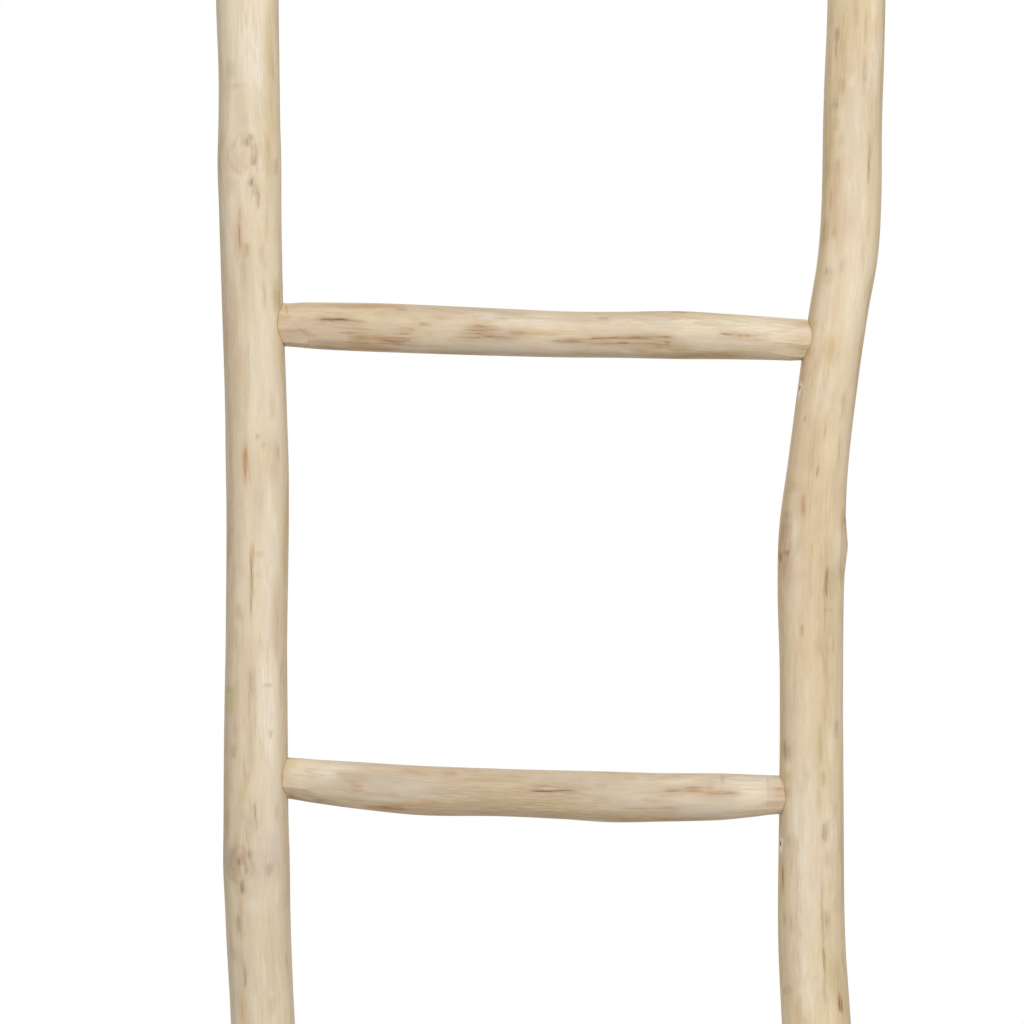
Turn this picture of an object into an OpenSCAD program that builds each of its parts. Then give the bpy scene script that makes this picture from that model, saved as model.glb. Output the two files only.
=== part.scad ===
// Towel ladder made of peeled branches, standing upright on its two feet.
// Units are millimetres, +Z is up and the front faces -Y. The origin is on the floor, under the middle
// of the ladder's box. Each post and rung is a branch that bends and swells as it grew. The rungs' ends
// are whittled to round tenons, which are glued into blind mortises in the posts. A skew nail comes up
// from under each rung, through the post and into the tenon, and filler closes the hole over its head.

/* [Ladder] */
// Number of rungs
rung_count = 5; // [3:1:7]
// Distance between the lines that the two posts follow, before their bends
post_spacing = 440; // [380:5:560]
// Distance from one rung to the next
rung_pitch = 342; // [280:2:400]
// Length of post below the lowest rung's centre
foot_len = 116; // [90:2:260]
// Length of post above the highest rung's centre
head_len = 116; // [60:2:260]

/* [Posts] */
// Mean diameter of a post
post_d = 48; // [44:1:60]
// Size of the posts' bends to the left and right
post_bend = 25; // [0:1:30]
// Size of the posts' bends to the front and back
post_wave = 5; // [0:0.5:10]
// Height of a knot over the wood round it
knot_h = 1.8; // [0:0.1:4]
// Reach of a knot along its post, from its middle
knot_reach = 24; // [18:1:40]
// Bevel round the sawn ends of a post
post_bevel = 2; // [1:0.5:4]

/* [Rungs] */
// Mean diameter of a rung
rung_d = 35; // [31:1:42]
// Size of the rungs' bends
rung_bow = 6; // [0:0.5:10]
// Height by which one end of the steepest rungs is lower than the other end
rung_fall = 14; // [0:1:25]

/* [Joints] */
// Diameter of the whittled tenon on each end of a rung
tenon_d = 28; // [22:0.5:30]
// Length of tenon inside the post, from the post's inner side
tenon_len = 28; // [20:1:32]
// Glue between a tenon and its mortise, all round
glue_gap = 0.1; // [0.05:0.05:0.3]
// Room for glue behind the end of a tenon
glue_pocket = 2; // [1:0.5:4]
// Height of the whittled shoulder over the tenon
shoulder_h = 0.6; // [0.4:0.1:2]
// Least distance from a rung's shoulder to the side of its post
shoulder_gap = 1; // [0.5:0.25:3]

/* [Nails] */
// Diameter of a nail
nail_d = 1.8; // [1.4:0.1:2.6]
// Length of a nail, with its head
nail_len = 36; // [30:1:40]
// Diameter of a nail's head
nail_head_d = 3; // [2.8:0.1:4]
// Thickness of a nail's head
nail_head_h = 0.8; // [0.5:0.1:1.5]
// Depth of a nail's head below the wood's surface
nail_set = 3.5; // [3:0.25:6]
// Distance from a rung's centre down to the place where its nail enters the post
nail_drop = 35; // [30:1:45]
// Depth behind the post's inner side at which a nail's line meets the tenon's centre line
nail_aim = 22; // [16:1:26]
// Clearance round a nail and round the filler over it
nail_gap = 0.05; // [0.03:0.01:0.1]
// Depth of the filler's face below the wood's surface
filler_sink = 0.3; // [0.2:0.1:1]

/* [Hidden] */
ladder_h = foot_len + (rung_count - 1) * rung_pitch + head_len;
tenon_r = tenon_d / 2;
mortise_r = tenon_r + glue_gap;
nail_r = nail_d / 2;
nail_hole_r = nail_r + nail_gap;
head_hole_r = nail_head_d / 2 + nail_gap;
nail_point_h = 1.5 * nail_d;
nail_tip_d = nail_d / 9;

// Facets: posts and rungs are rings of points, and every round hole, tenon and nail is a true cylinder
post_sides = 24;
post_steps = 80;
rung_sides = 20;
rung_steps = 20;
round_fn = 48;
// How far a cut runs past the face that it opens, and a tenon into its rung's body
overrun = tenon_d / 5;

wood = [0.86, 0.79, 0.67];
rung_wood = [0.80, 0.72, 0.60];
steel = [0.45, 0.44, 0.43];
filler_paste = [0.90, 0.86, 0.78];

// Bends of the posts, from the floor up: share of the height, shares of post_bend to the right and of
// post_wave to the back, share of post_d
left_bends = [
    [0.00, 0.32, 0.6, 1.16],
    [0.06, 0.40, 0.2, 1.12],
    [0.12, 0.34, -0.4, 1.06],
    [0.18, 0.16, -0.8, 1.00],
    [0.22, 0.04, -0.9, 1.02],
    [0.26, -0.03, -0.8, 1.03],
    [0.31, -0.05, -0.4, 1.015],
    [0.36, -0.04, 0.2, 0.985],
    [0.42, -0.02, 0.6, 0.99],
    [0.47, -0.08, 0.7, 0.97],
    [0.52, -0.18, 0.5, 0.955],
    [0.57, -0.24, 0.1, 0.965],
    [0.62, -0.25, -0.3, 0.94],
    [0.66, -0.30, -0.5, 0.965],
    [0.74, -0.24, -0.6, 0.95],
    [0.82, -0.12, -0.2, 0.92],
    [0.90, -0.12, 0.5, 0.90],
    [1.00, -0.28, 1.0, 0.875]
];
right_bends = [
    [0.00, -0.52, -0.6, 1.18],
    [0.06, -0.48, -0.2, 1.14],
    [0.12, -0.60, 0.4, 1.11],
    [0.18, -0.84, 0.8, 1.085],
    [0.22, -0.97, 0.8, 1.06],
    [0.28, -0.98, 0.5, 1.03],
    [0.34, -0.99, 0.0, 1.01],
    [0.38, -1.02, -0.4, 1.05],
    [0.41, -0.98, -0.7, 1.03],
    [0.44, -0.80, -0.9, 0.95],
    [0.48, -0.48, -1.0, 0.925],
    [0.51, -0.19, -0.8, 0.92],
    [0.535, 0.08, -0.6, 0.93],
    [0.56, 0.20, -0.3, 0.92],
    [0.60, 0.25, 0.1, 0.905],
    [0.66, 0.38, 0.5, 0.89],
    [0.72, 0.36, 0.6, 0.885],
    [0.80, 0.28, 0.3, 0.87],
    [0.88, 0.24, -0.4, 0.86],
    [1.00, 0.32, -1.0, 0.835]
];

// Knots on the posts: share of the height, bearing, shares of knot_h and knot_reach, spread in degrees,
// and the share of knot_h by which the wood swells all round there
left_knots = [
    [0.10, 120, 1.0, 1.1, 34, 0.4],
    [0.25, 240, 0.8, 1.0, 36, 0.3],
    [0.44, 80, 0.8, 0.9, 34, 0.15],
    [0.58, 254, 0.7, 1.0, 38, 0.35],
    [0.80, 300, 0.8, 1.0, 36, 0.3]
];
right_knots = [
    [0.13, 290, 1.0, 1.0, 36, 0.35],
    [0.40, 350, 1.3, 0.75, 26, 0.1],
    [0.405, 221, 0.45, 0.85, 24, 0],
    [0.62, 100, 0.8, 0.9, 34, 0.1],
    [0.77, 250, 0.8, 1.0, 36, 0.3],
    [0.92, 60, 0.8, 0.9, 34, 0.2]
];

// A branch is a little oval and three-sided: shares of its radius, and degrees turned from end to end
post_oval = 0.018;
post_oval_turn = 560;
post_lobes = 0.008;
post_lobes_turn = 800;
rung_oval = 0.02;
rung_oval_turn = 200;
rung_oval_step = 70;

// How the rungs lie: shares of rung_fall that the middle is lifted and that the right end is lower
rung_lies = [[0, 0.43], [0.11, 1.04], [0, 0.96], [-0.14, -0.5], [0.07, 0.64]];

// Bends of the rungs, from the left: share of the length, shares of rung_bow to the back and up,
// share of rung_d
rung_bends = [
    [
        [0.00, 0, 0, 0.85],
        [0.08, 0.08, 0.17, 0.97],
        [0.25, 0.33, 0.5, 1.06],
        [0.50, 0.5, 0.75, 1.04],
        [0.75, 0.33, 0.58, 1.07],
        [0.92, 0.08, 0.17, 0.98],
        [1.00, 0, 0, 0.86]
    ],
    [
        [0.00, 0, 0, 0.88],
        [0.06, 0, -0.33, 0.92],
        [0.14, -0.08, -0.63, 0.98],
        [0.27, -0.17, -0.98, 1.03],
        [0.43, -0.25, -0.88, 0.99],
        [0.56, -0.17, -0.9, 1.02],
        [0.66, -0.08, -0.97, 1.07],
        [0.76, 0, -0.82, 1.03],
        [0.88, 0.08, -0.5, 1.00],
        [0.94, 0.05, -0.27, 0.92],
        [1.00, 0, 0, 0.83]
    ],
    [
        [0.00, 0, 0, 0.88],
        [0.04, 0, 0, 0.94],
        [0.12, 0.08, 0, 1.01],
        [0.20, 0.17, 0, 1.03],
        [0.42, 0.25, -0.12, 1.01],
        [0.55, 0.17, -0.15, 0.985],
        [0.65, 0.08, 0, 0.99],
        [0.76, 0, 0.18, 1.03],
        [0.86, -0.05, 0.17, 0.98],
        [0.94, -0.03, 0.08, 0.91],
        [1.00, 0, 0, 0.84]
    ],
    [
        [0.00, 0, 0, 0.84],
        [0.07, -0.08, 0.08, 0.93],
        [0.22, -0.33, 0.25, 1.02],
        [0.40, -0.5, 0.08, 0.98],
        [0.60, -0.33, -0.25, 1.01],
        [0.80, -0.17, -0.33, 1.00],
        [0.93, -0.05, -0.13, 0.92],
        [1.00, 0, 0, 0.85]
    ],
    [
        [0.00, 0, 0, 0.86],
        [0.07, 0.08, -0.17, 0.94],
        [0.25, 0.25, -0.5, 0.99],
        [0.45, 0.33, -0.67, 1.02],
        [0.62, 0.25, -0.58, 0.97],
        [0.80, 0.08, -0.33, 0.98],
        [0.93, 0, -0.1, 0.91],
        [1.00, 0, 0, 0.84]
    ]
];

// Side 0 is the left post and side 1 is the right one.
// Bearings run anticlockwise seen from above: 0 is right, 90 is the back, 180 is left, 270 is the front.
SIDES = ["left", "right"];
inner_bearing = [0, 180];
nail_bearing = [38, 197];

function total(list, i = 0) = i < len(list) ? list[i] + total(list, i + 1) : 0;
function unit(v) = v / norm(v);
function turned(angle) = (angle + 900) % 360 - 180;
function around(bearing) = [cos(bearing), sin(bearing), 0];

// A smooth curve through a table's rows, found by the first value of a row
function row_before(rows, t, i = 0) =
    i >= len(rows) - 2 || t < rows[i + 1][0] ? i : row_before(rows, t, i + 1);
function slope_at(rows, i) =
    let (a = rows[max(i - 1, 0)], b = rows[min(i + 1, len(rows) - 1)])
    (b - a) / (b[0] - a[0]);
function along(rows, t) =
    let (
        i = row_before(rows, t),
        h = rows[i + 1][0] - rows[i][0],
        u = (t - rows[i][0]) / h,
        rise = u * u * (3 - 2 * u)
    )
    (1 - rise) * rows[i] + rise * rows[i + 1]
    + h * u * (1 - u) * ((1 - u) * slope_at(rows, i) - u * slope_at(rows, i + 1));

function bends(side) = side == 0 ? left_bends : right_bends;
function knots(side) = side == 0 ? left_knots : right_knots;
function post_row(side, z) = along(bends(side), z / ladder_h);
function post_mid(side, z) =
    let (row = post_row(side, z))
    [(side - 0.5) * post_spacing + row[1] * post_bend, row[2] * post_wave, z];
function knot_rise(knot, z, bearing) =
    let (
        up = (z - knot[0] * ladder_h) / (knot[3] * knot_reach),
        round_it = turned(bearing - knot[1]) / knot[4]
    )
    knot_h * exp(-up * up) * (knot[5] + knot[2] * exp(-round_it * round_it));
function out_of_round(z, bearing) =
    post_oval * cos(2 * bearing - post_oval_turn * z / ladder_h)
    + post_lobes * cos(3 * bearing + post_lobes_turn * z / ladder_h);
function post_r(side, z, bearing) =
    post_d / 2 * post_row(side, z)[3] * (1 + out_of_round(z, bearing))
    + total([for (knot = knots(side)) knot_rise(knot, z, bearing)]);
function post_point(side, z, bearing, inset = 0) =
    post_mid(side, z) + (post_r(side, z, bearing) - inset) * around(bearing);
// The way out of the wood, square to two short lines on the surface
function post_normal(side, z, bearing, turn = 2) =
    unit(cross(
        post_point(side, z, bearing + turn) - post_point(side, z, bearing - turn),
        post_point(side, z + nail_d, bearing) - post_point(side, z - nail_d, bearing)
    ));

// The rings of a post, each a list of points, with the bevels at both ends
post_heights = concat(
    [0],
    [for (i = [0:post_steps]) post_bevel + (ladder_h - 2 * post_bevel) * i / post_steps],
    [ladder_h]
);
function post_ring(side, z) = [
    for (k = [0:post_sides - 1])
        post_point(side, z, 360 * k / post_sides, z == 0 || z == ladder_h ? post_bevel : 0)
];
post_points = [for (side = [0, 1]) [for (z = post_heights) each post_ring(side, z)]];

// The middle of the ladder's box, seen from above
all_x = [for (points = post_points) for (p = points) p.x];
all_y = [for (points = post_points) for (p = points) p.y];
box_mid = [(min(all_x) + max(all_x)) / 2, (min(all_y) + max(all_y)) / 2, 0];

// A rung's line runs from one post's centre line to the other's
function rung_h(i) = foot_len + (i - 1) * rung_pitch;
function rung_lie(i) = rung_lies[(i - 1) % len(rung_lies)] * rung_fall;
function end_h(i, side) = rung_h(i) + rung_lie(i)[0] + (0.5 - side) * rung_lie(i)[1];
function end_mid(i, side) = post_mid(side, end_h(i, side));
function rung_dir(i) = unit(end_mid(i, 1) - end_mid(i, 0));
function rung_span(i) = norm(end_mid(i, 1) - end_mid(i, 0));
// How far a post reaches towards its rung, from where the rung's line meets the post's centre line
function post_face(i, side) =
    let (z = end_h(i, side), b = inner_bearing[side])
    max([for (step = [-1:0.5:1])
        (post_point(side, z + step * rung_d / 2, b) - end_mid(i, side)) * around(b)]);
function body_start(i) = post_face(i, 0) + shoulder_gap;
function body_end(i) = rung_span(i) - post_face(i, 1) - shoulder_gap;
function rung_row(i, t) = along(rung_bends[(i - 1) % len(rung_bends)], t);
function rung_r(i, t, bearing) =
    max(rung_d / 2 * rung_row(i, t)[3], tenon_r + shoulder_h)
    * (1 + rung_oval * cos(2 * bearing + rung_oval_turn * t + rung_oval_step * i));
function rung_ring(i, t) = [
    for (k = [0:rung_sides - 1])
        let (bearing = 360 * k / rung_sides, r = rung_r(i, t, bearing))
        [
            rung_row(i, t)[1] * rung_bow + r * cos(bearing),
            rung_row(i, t)[2] * rung_bow + r * sin(bearing),
            body_start(i) + (body_end(i) - body_start(i)) * t
        ]
];

// A place and direction as a matrix: its Z runs along dir, and its X is level
function place(at, dir) =
    let (x = unit(cross([0, 0, 1], dir)), y = cross(dir, x))
    [
        [x.x, y.x, dir.x, at.x],
        [x.y, y.y, dir.y, at.y],
        [x.z, y.z, dir.z, at.z],
        [0, 0, 0, 1]
    ];
function rung_place(i) = place(end_mid(i, 0), rung_dir(i));

// A nail's line runs from the post's surface up to the tenon's centre line
function nail_h(i, side) = end_h(i, side) - nail_drop;
function nail_entry(i, side) = post_point(side, nail_h(i, side), nail_bearing[side]);
function nail_target(i, side) =
    end_mid(i, side) + (post_face(i, side) - nail_aim) * (1 - 2 * side) * rung_dir(i);
function nail_place(i, side) =
    place(nail_entry(i, side), unit(nail_entry(i, side) - nail_target(i, side)));

// Closes rings of points, all with the same number of sides, into one solid
module skin(points, sides) {
    rings = len(points) / sides;
    polyhedron(
        points,
        concat(
            [[for (k = [0:sides - 1]) k]],
            [for (r = [0:rings - 2]) for (k = [0:sides - 1])
                let (next = (k + 1) % sides)
                each [
                    [r * sides + k, (r + 1) * sides + k, (r + 1) * sides + next],
                    [r * sides + k, (r + 1) * sides + next, r * sides + next]
                ]],
            [[for (k = [sides - 1:-1:0]) (rings - 1) * sides + k]]
        ),
        convexity = 6
    );
}

module to_box_middle() {
    translate(-box_mid) children();
}

// The round hole for a tenon, open at the post's inner side
module mortise(i, side) {
    length = tenon_len + glue_pocket + overrun;
    bottom = post_face(i, side) - tenon_len - glue_pocket;
    from = side == 0 ? bottom : rung_span(i) - bottom - length;
    multmatrix(rung_place(i))
        translate([0, 0, from])
            cylinder(h = length, r = mortise_r, $fn = round_fn);
}

// The hole for a nail, wider at its mouth where the head is set below the surface
module nail_hole(i, side) {
    reach = nail_set + nail_len + nail_gap;
    multmatrix(nail_place(i, side)) {
        translate([0, 0, -reach])
            cylinder(h = reach, r = nail_hole_r, $fn = round_fn);
        translate([0, 0, -nail_set - nail_head_h])
            cylinder(h = nail_set + nail_head_h + overrun, r = head_hole_r, $fn = round_fn);
    }
}

module post(side) {
    color(wood) to_box_middle() difference() {
        skin(post_points[side], post_sides);
        for (i = [1:rung_count]) {
            mortise(i, side);
            nail_hole(i, side);
        }
    }
}

module rung(i) {
    left_tip = post_face(i, 0) - tenon_len;
    right_tip = rung_span(i) - post_face(i, 1) + tenon_len;
    color(rung_wood) to_box_middle() difference() {
        multmatrix(rung_place(i)) {
            skin([for (step = [0:rung_steps]) each rung_ring(i, step / rung_steps)], rung_sides);
            translate([0, 0, left_tip])
                cylinder(h = body_start(i) - left_tip + overrun, r = tenon_r, $fn = round_fn);
            translate([0, 0, body_end(i) - overrun])
                cylinder(h = right_tip - body_end(i) + overrun, r = tenon_r, $fn = round_fn);
        }
        for (side = [0, 1]) nail_hole(i, side);
    }
}

module nail(i, side) {
    color(steel) to_box_middle() multmatrix(nail_place(i, side)) {
        translate([0, 0, -nail_set - nail_head_h])
            cylinder(h = nail_head_h, d = nail_head_d, $fn = round_fn);
        translate([0, 0, -nail_set - nail_len + nail_point_h])
            cylinder(h = nail_len - nail_point_h - nail_head_h, r = nail_r, $fn = round_fn);
        translate([0, 0, -nail_set - nail_len])
            cylinder(h = nail_point_h, d1 = nail_tip_d, d2 = nail_d, $fn = round_fn);
    }
}

// The filler over a nail's head is cut off along the post's surface
module filler(i, side) {
    entry = nail_entry(i, side);
    normal = post_normal(side, nail_h(i, side), nail_bearing[side]);
    reach = nail_set + overrun;
    color(filler_paste) to_box_middle() difference() {
        multmatrix(nail_place(i, side))
            translate([0, 0, -nail_set])
                cylinder(h = reach, r = head_hole_r - nail_gap, $fn = round_fn);
        multmatrix(place(entry - filler_sink * normal, normal))
            translate([-reach, -reach, 0])
                cube([2 * reach, 2 * reach, 2 * reach]);
    }
}

post(0);  // left_post
post(1);  // right_post
for (i = [1:rung_count]) {
    rung(i);
    for (side = [0, 1]) {
        nail(i, side);
        filler(i, side);
    }
}
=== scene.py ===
import bpy
import numpy as np
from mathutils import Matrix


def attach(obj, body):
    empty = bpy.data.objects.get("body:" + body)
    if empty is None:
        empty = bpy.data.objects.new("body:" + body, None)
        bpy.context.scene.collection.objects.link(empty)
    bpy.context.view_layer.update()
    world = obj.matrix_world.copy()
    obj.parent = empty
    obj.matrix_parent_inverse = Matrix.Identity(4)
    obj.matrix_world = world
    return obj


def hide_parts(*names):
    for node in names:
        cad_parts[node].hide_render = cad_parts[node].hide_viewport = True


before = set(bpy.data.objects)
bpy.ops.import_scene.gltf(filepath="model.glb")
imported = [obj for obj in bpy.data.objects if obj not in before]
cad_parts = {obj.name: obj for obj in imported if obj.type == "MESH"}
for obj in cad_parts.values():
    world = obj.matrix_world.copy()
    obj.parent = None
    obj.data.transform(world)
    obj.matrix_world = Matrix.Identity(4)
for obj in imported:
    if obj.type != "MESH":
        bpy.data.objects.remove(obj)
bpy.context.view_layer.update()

# The two posts. Its ends are sawn square, their edges worn round, and each rung's end is glued into a
# mortise in its side.
ladder_h = 1.6
post_spacing = 0.44
post_d = 0.048
post_mean_r = post_d / 2
post_bend = 0.025
post_wave = 0.005
worn_edge = 0.002
knot_h = 0.0018
knot_reach = 0.024
box_mid = (-0.00004, -0.00023)
post_sides = 120
post_rows = 780
post_flat = 0.00035
post_sanded = 0.00005
sawn_rings = 15
post_strays = 104
seen_heights = (270, 1060)
seen_bearings = (190, 350)
eye_level = 0.6654
front_growth = 0.0075

# Sizes are in metres, bearings in degrees seen from above: 0 right, 90 the back, 180 left, 270 the front.
# Rows of bends: share of the height, shares of post_bend to the right and of post_wave to the back, share
# of post_d. Rows of knots: share of the height, bearing, shares of knot_h and knot_reach, spread in degrees,
# and the share of knot_h by which the wood swells all round.
# Marks are in millimetres. Rows of hearts: height, bearing, half the height and half the width of a knot's
# scar, and how strong it is. Rows of lines: tint, from a height and bearing to a height and bearing, half
# the width, the depth, and the strength. Rows of tinted patches: tint, height, bearing, half height, half
# width, strength. Most patches are the wood's own stains, and some are painted highlights and painted shade.
# The places of lines and patches are as read from the front, and turn is what their bearings still need.
# End checks, which open at the sawn ends, stand where they belong. Elsewhere than at the seen heights and
# bearings, the other marks are strays.
left_post = {
    "side": -0.5,
    "turn": 3.4,
    "bends": [
        (0.00, 0.32, 0.6, 1.16), (0.06, 0.40, 0.2, 1.12), (0.12, 0.34, -0.4, 1.06),
        (0.18, 0.16, -0.8, 1.00), (0.22, 0.04, -0.9, 1.02), (0.26, -0.03, -0.8, 1.03),
        (0.31, -0.05, -0.4, 1.015), (0.36, -0.04, 0.2, 0.985), (0.42, -0.02, 0.6, 0.99),
        (0.47, -0.08, 0.7, 0.97), (0.52, -0.18, 0.5, 0.955), (0.57, -0.24, 0.1, 0.965),
        (0.62, -0.25, -0.3, 0.94), (0.66, -0.30, -0.5, 0.965), (0.74, -0.24, -0.6, 0.95),
        (0.82, -0.12, -0.2, 0.92), (0.90, -0.12, 0.5, 0.90), (1.00, -0.28, 1.0, 0.875),
    ],
    "knots": [
        (0.10, 120, 1.0, 1.1, 34, 0.4), (0.25, 240, 0.8, 1.0, 36, 0.3), (0.44, 80, 0.8, 0.9, 34, 0.15),
        (0.58, 254, 0.7, 1.0, 38, 0.35), (0.80, 300, 0.8, 1.0, 36, 0.3),
    ],
    "hearts": [
        (931, 262, 15, 12, 0.27), (402, 243, 13, 10, 0.3), (160, 120, 17, 10, 0.75), (704, 80, 14, 9, 0.6),
        (1280, 300, 15, 10, 0.7),
    ],
    "lines": [
        ("orange", 884, 249, 893, 250, 0.65, 0.1, 0.56), ("rust", 864, 247, 882, 247, 0.78, 0.3, 0.8),
        ("brown", 989, 321, 1011, 321, 0.52, 0.1, 0.32), ("brown", 817, 293, 838, 293, 0.65, 0.2, 0.56),
        ("rust", 690, 247, 716, 250, 0.78, 0.2, 0.68), ("brown", 586, 259.5, 636, 260.5, 0.42, 0.5, 0.68),
        ("brown", 490, 269, 556, 268, 0.39, 0.1, 0.24), ("brown", 515, 320, 550, 320, 0.45, 0.1, 0.36),
        ("brown", 434, 268, 448, 268, 0.65, 0.4, 0.6), ("brown", 350, 234, 365, 234, 1.04, 0.2, 0.48),
        ("orange", 335, 210, 353, 210, 1.17, 0.2, 0.56), ("dark", 310, 242, 328, 241, 0.52, 0.5, 0.6),
        ("orange", 285, 230, 308, 231, 1.3, 0.15, 0.4),
    ],
    "end_checks": [
        ("dark", 1545, 292, 1618, 290, 0.6, 1.8, 1), ("dark", 1572, 120, 1616, 122, 0.5, 1.5, 0.9),
        ("dark", -18, 200, 34, 203, 0.6, 1.8, 1), ("dark", 1572, 40, 1612, 38, 0.4, 1.2, 0.8),
    ],
    "patches": [
        # The long ash bands at bearings 296 to 308, on the side that faces the front lamp, are painted
        # highlights. The short ash patches only pale the wood.
        ("ash", 978, 292, 26, 6, 0.4), ("straw", 990, 318, 40, 5, 0.3), ("ash", 1015, 281, 30, 9, 0.5),
        ("ash", 962, 213, 14, 5, 0.35), ("pale", 892, 235, 14, 8, 0.4), ("brown", 822, 322, 8, 4, 0.5),
        ("ash", 560, 296, 90, 7, 0.5), ("ash", 420, 308, 14, 8, 0.5), ("grey", 402, 240, 10, 22, 0.45),
        # The first two tan bands here, at bearings 208 and 335, run along the post's two edges as seen from
        # the front. They are painted shade at its sides, with some of the wood's browner tone.
        ("tan", 600, 208, 200, 5, 0.4), ("tan", 550, 335, 160, 6, 0.5), ("tan", 790, 236, 70, 12, 0.35),
        ("ash", 765, 303, 75, 11, 0.25), ("ash", 420, 302, 45, 11, 0.25),
        ("pale", 1030, 252, 34, 15, 0.45), ("yellow", 1018, 313, 26, 4, 0.65),
        ("tan", 985, 313, 30, 3.5, 0.35), ("grey", 997, 231, 6, 4, 0.5), ("grey", 985, 242, 2.2, 7, 0.35),
        ("violet", 959, 260, 6, 4, 0.45), ("dark", 943, 265, 3, 3, 0.45), ("brown", 947, 272, 2, 3, 0.35),
        ("brown", 937, 277, 4, 2, 0.5), ("dark", 929, 279, 3.4, 2.6, 0.7),
        ("dark", 914, 273, 4, 2.2, 0.55), ("dark", 907, 280, 4, 2, 0.5),
        ("brown", 899, 286, 6, 1.8, 0.45), ("tan", 930, 303, 13, 3, 0.5), ("pale", 918, 258, 3, 10, 0.5),
        ("pale", 928, 287, 4, 2.5, 0.5), ("pink", 924, 246, 4, 5, 0.4), ("orange", 924, 325, 6, 2.5, 0.6),
        ("orange", 876, 247, 16, 1.6, 0.4), ("brown", 862, 260, 5, 3, 0.45),
        ("olive", 851, 256, 15, 6, 0.35), ("orange", 827, 322, 6, 2.5, 0.6),
        ("yellow", 833, 315, 8, 4, 0.4), ("yellow", 790, 318, 16, 4, 0.4),
        ("violet", 778, 264, 14, 5, 0.4), ("pale", 760, 264, 42, 4.5, 0.45),
        ("orange", 701, 247, 13, 3.5, 0.5), ("dark", 722, 272, 2, 1.2, 0.4),
        ("dark", 715, 283, 2, 1.2, 0.35), ("tan", 705, 295, 18, 11, 0.4), ("brown", 710, 311, 5, 2, 0.4),
        ("violet", 675, 277, 12, 5, 0.4), ("orange", 640, 207, 12, 3, 0.6),
        ("orange", 651, 213, 4, 2, 0.5), ("red", 632, 261, 6, 1.5, 0.5), ("brown", 634, 272, 2, 4, 0.2),
        ("brown", 618, 270, 2, 3, 0.16), ("tan", 584, 309, 28, 4.5, 0.65),
        ("orange", 590, 234, 6, 2.5, 0.5), ("olive", 570, 228, 8, 3, 0.45),
        ("tan", 519, 261, 40, 3.2, 0.6), ("brown", 535, 261, 10, 2, 0.35), ("pale", 524, 284, 34, 6, 0.5),
        ("brown", 535.5, 291, 1.3, 3.4, 0.44), ("yellow", 524, 216, 10, 6.5, 0.95),
        ("olive", 532, 216, 2.5, 4.5, 0.6), ("olive", 545, 327, 12, 3, 0.5),
        ("grey", 504, 228, 7, 3, 0.45), ("brown", 486, 226, 5, 3, 0.4), ("dark", 499, 297, 3, 1.2, 0.4),
        ("brown", 431, 272, 4, 2.5, 0.45), ("orange", 432, 208, 10, 2, 0.5),
        ("violet", 430, 252, 9, 7, 0.6), ("yellow", 420, 250, 5, 5, 0.4), ("red", 408, 240, 8, 6, 0.6),
        ("dark", 404, 241, 2.5, 1.8, 0.6), ("grey", 408, 222, 6, 4, 0.5), ("olive", 396, 232, 5, 4, 0.4),
        ("dark", 397, 254, 2, 1.2, 0.35), ("dark", 384, 245, 4, 1.7, 0.6),
        ("dark", 409, 259, 3, 1.1, 0.4), ("brown", 398, 290, 4, 2, 0.5),
        ("dark", 399, 296, 2.5, 1.5, 0.5), ("violet", 408, 301, 17, 8, 0.5),
        ("pale", 370, 260, 6, 5, 0.5), ("red", 335, 220, 5, 3, 0.45), ("brown", 295, 288, 6, 2.5, 0.35),
        ("grey", 350, 265, 110, 32, 0.2),
    ],
    "seed": 3,
}
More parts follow.
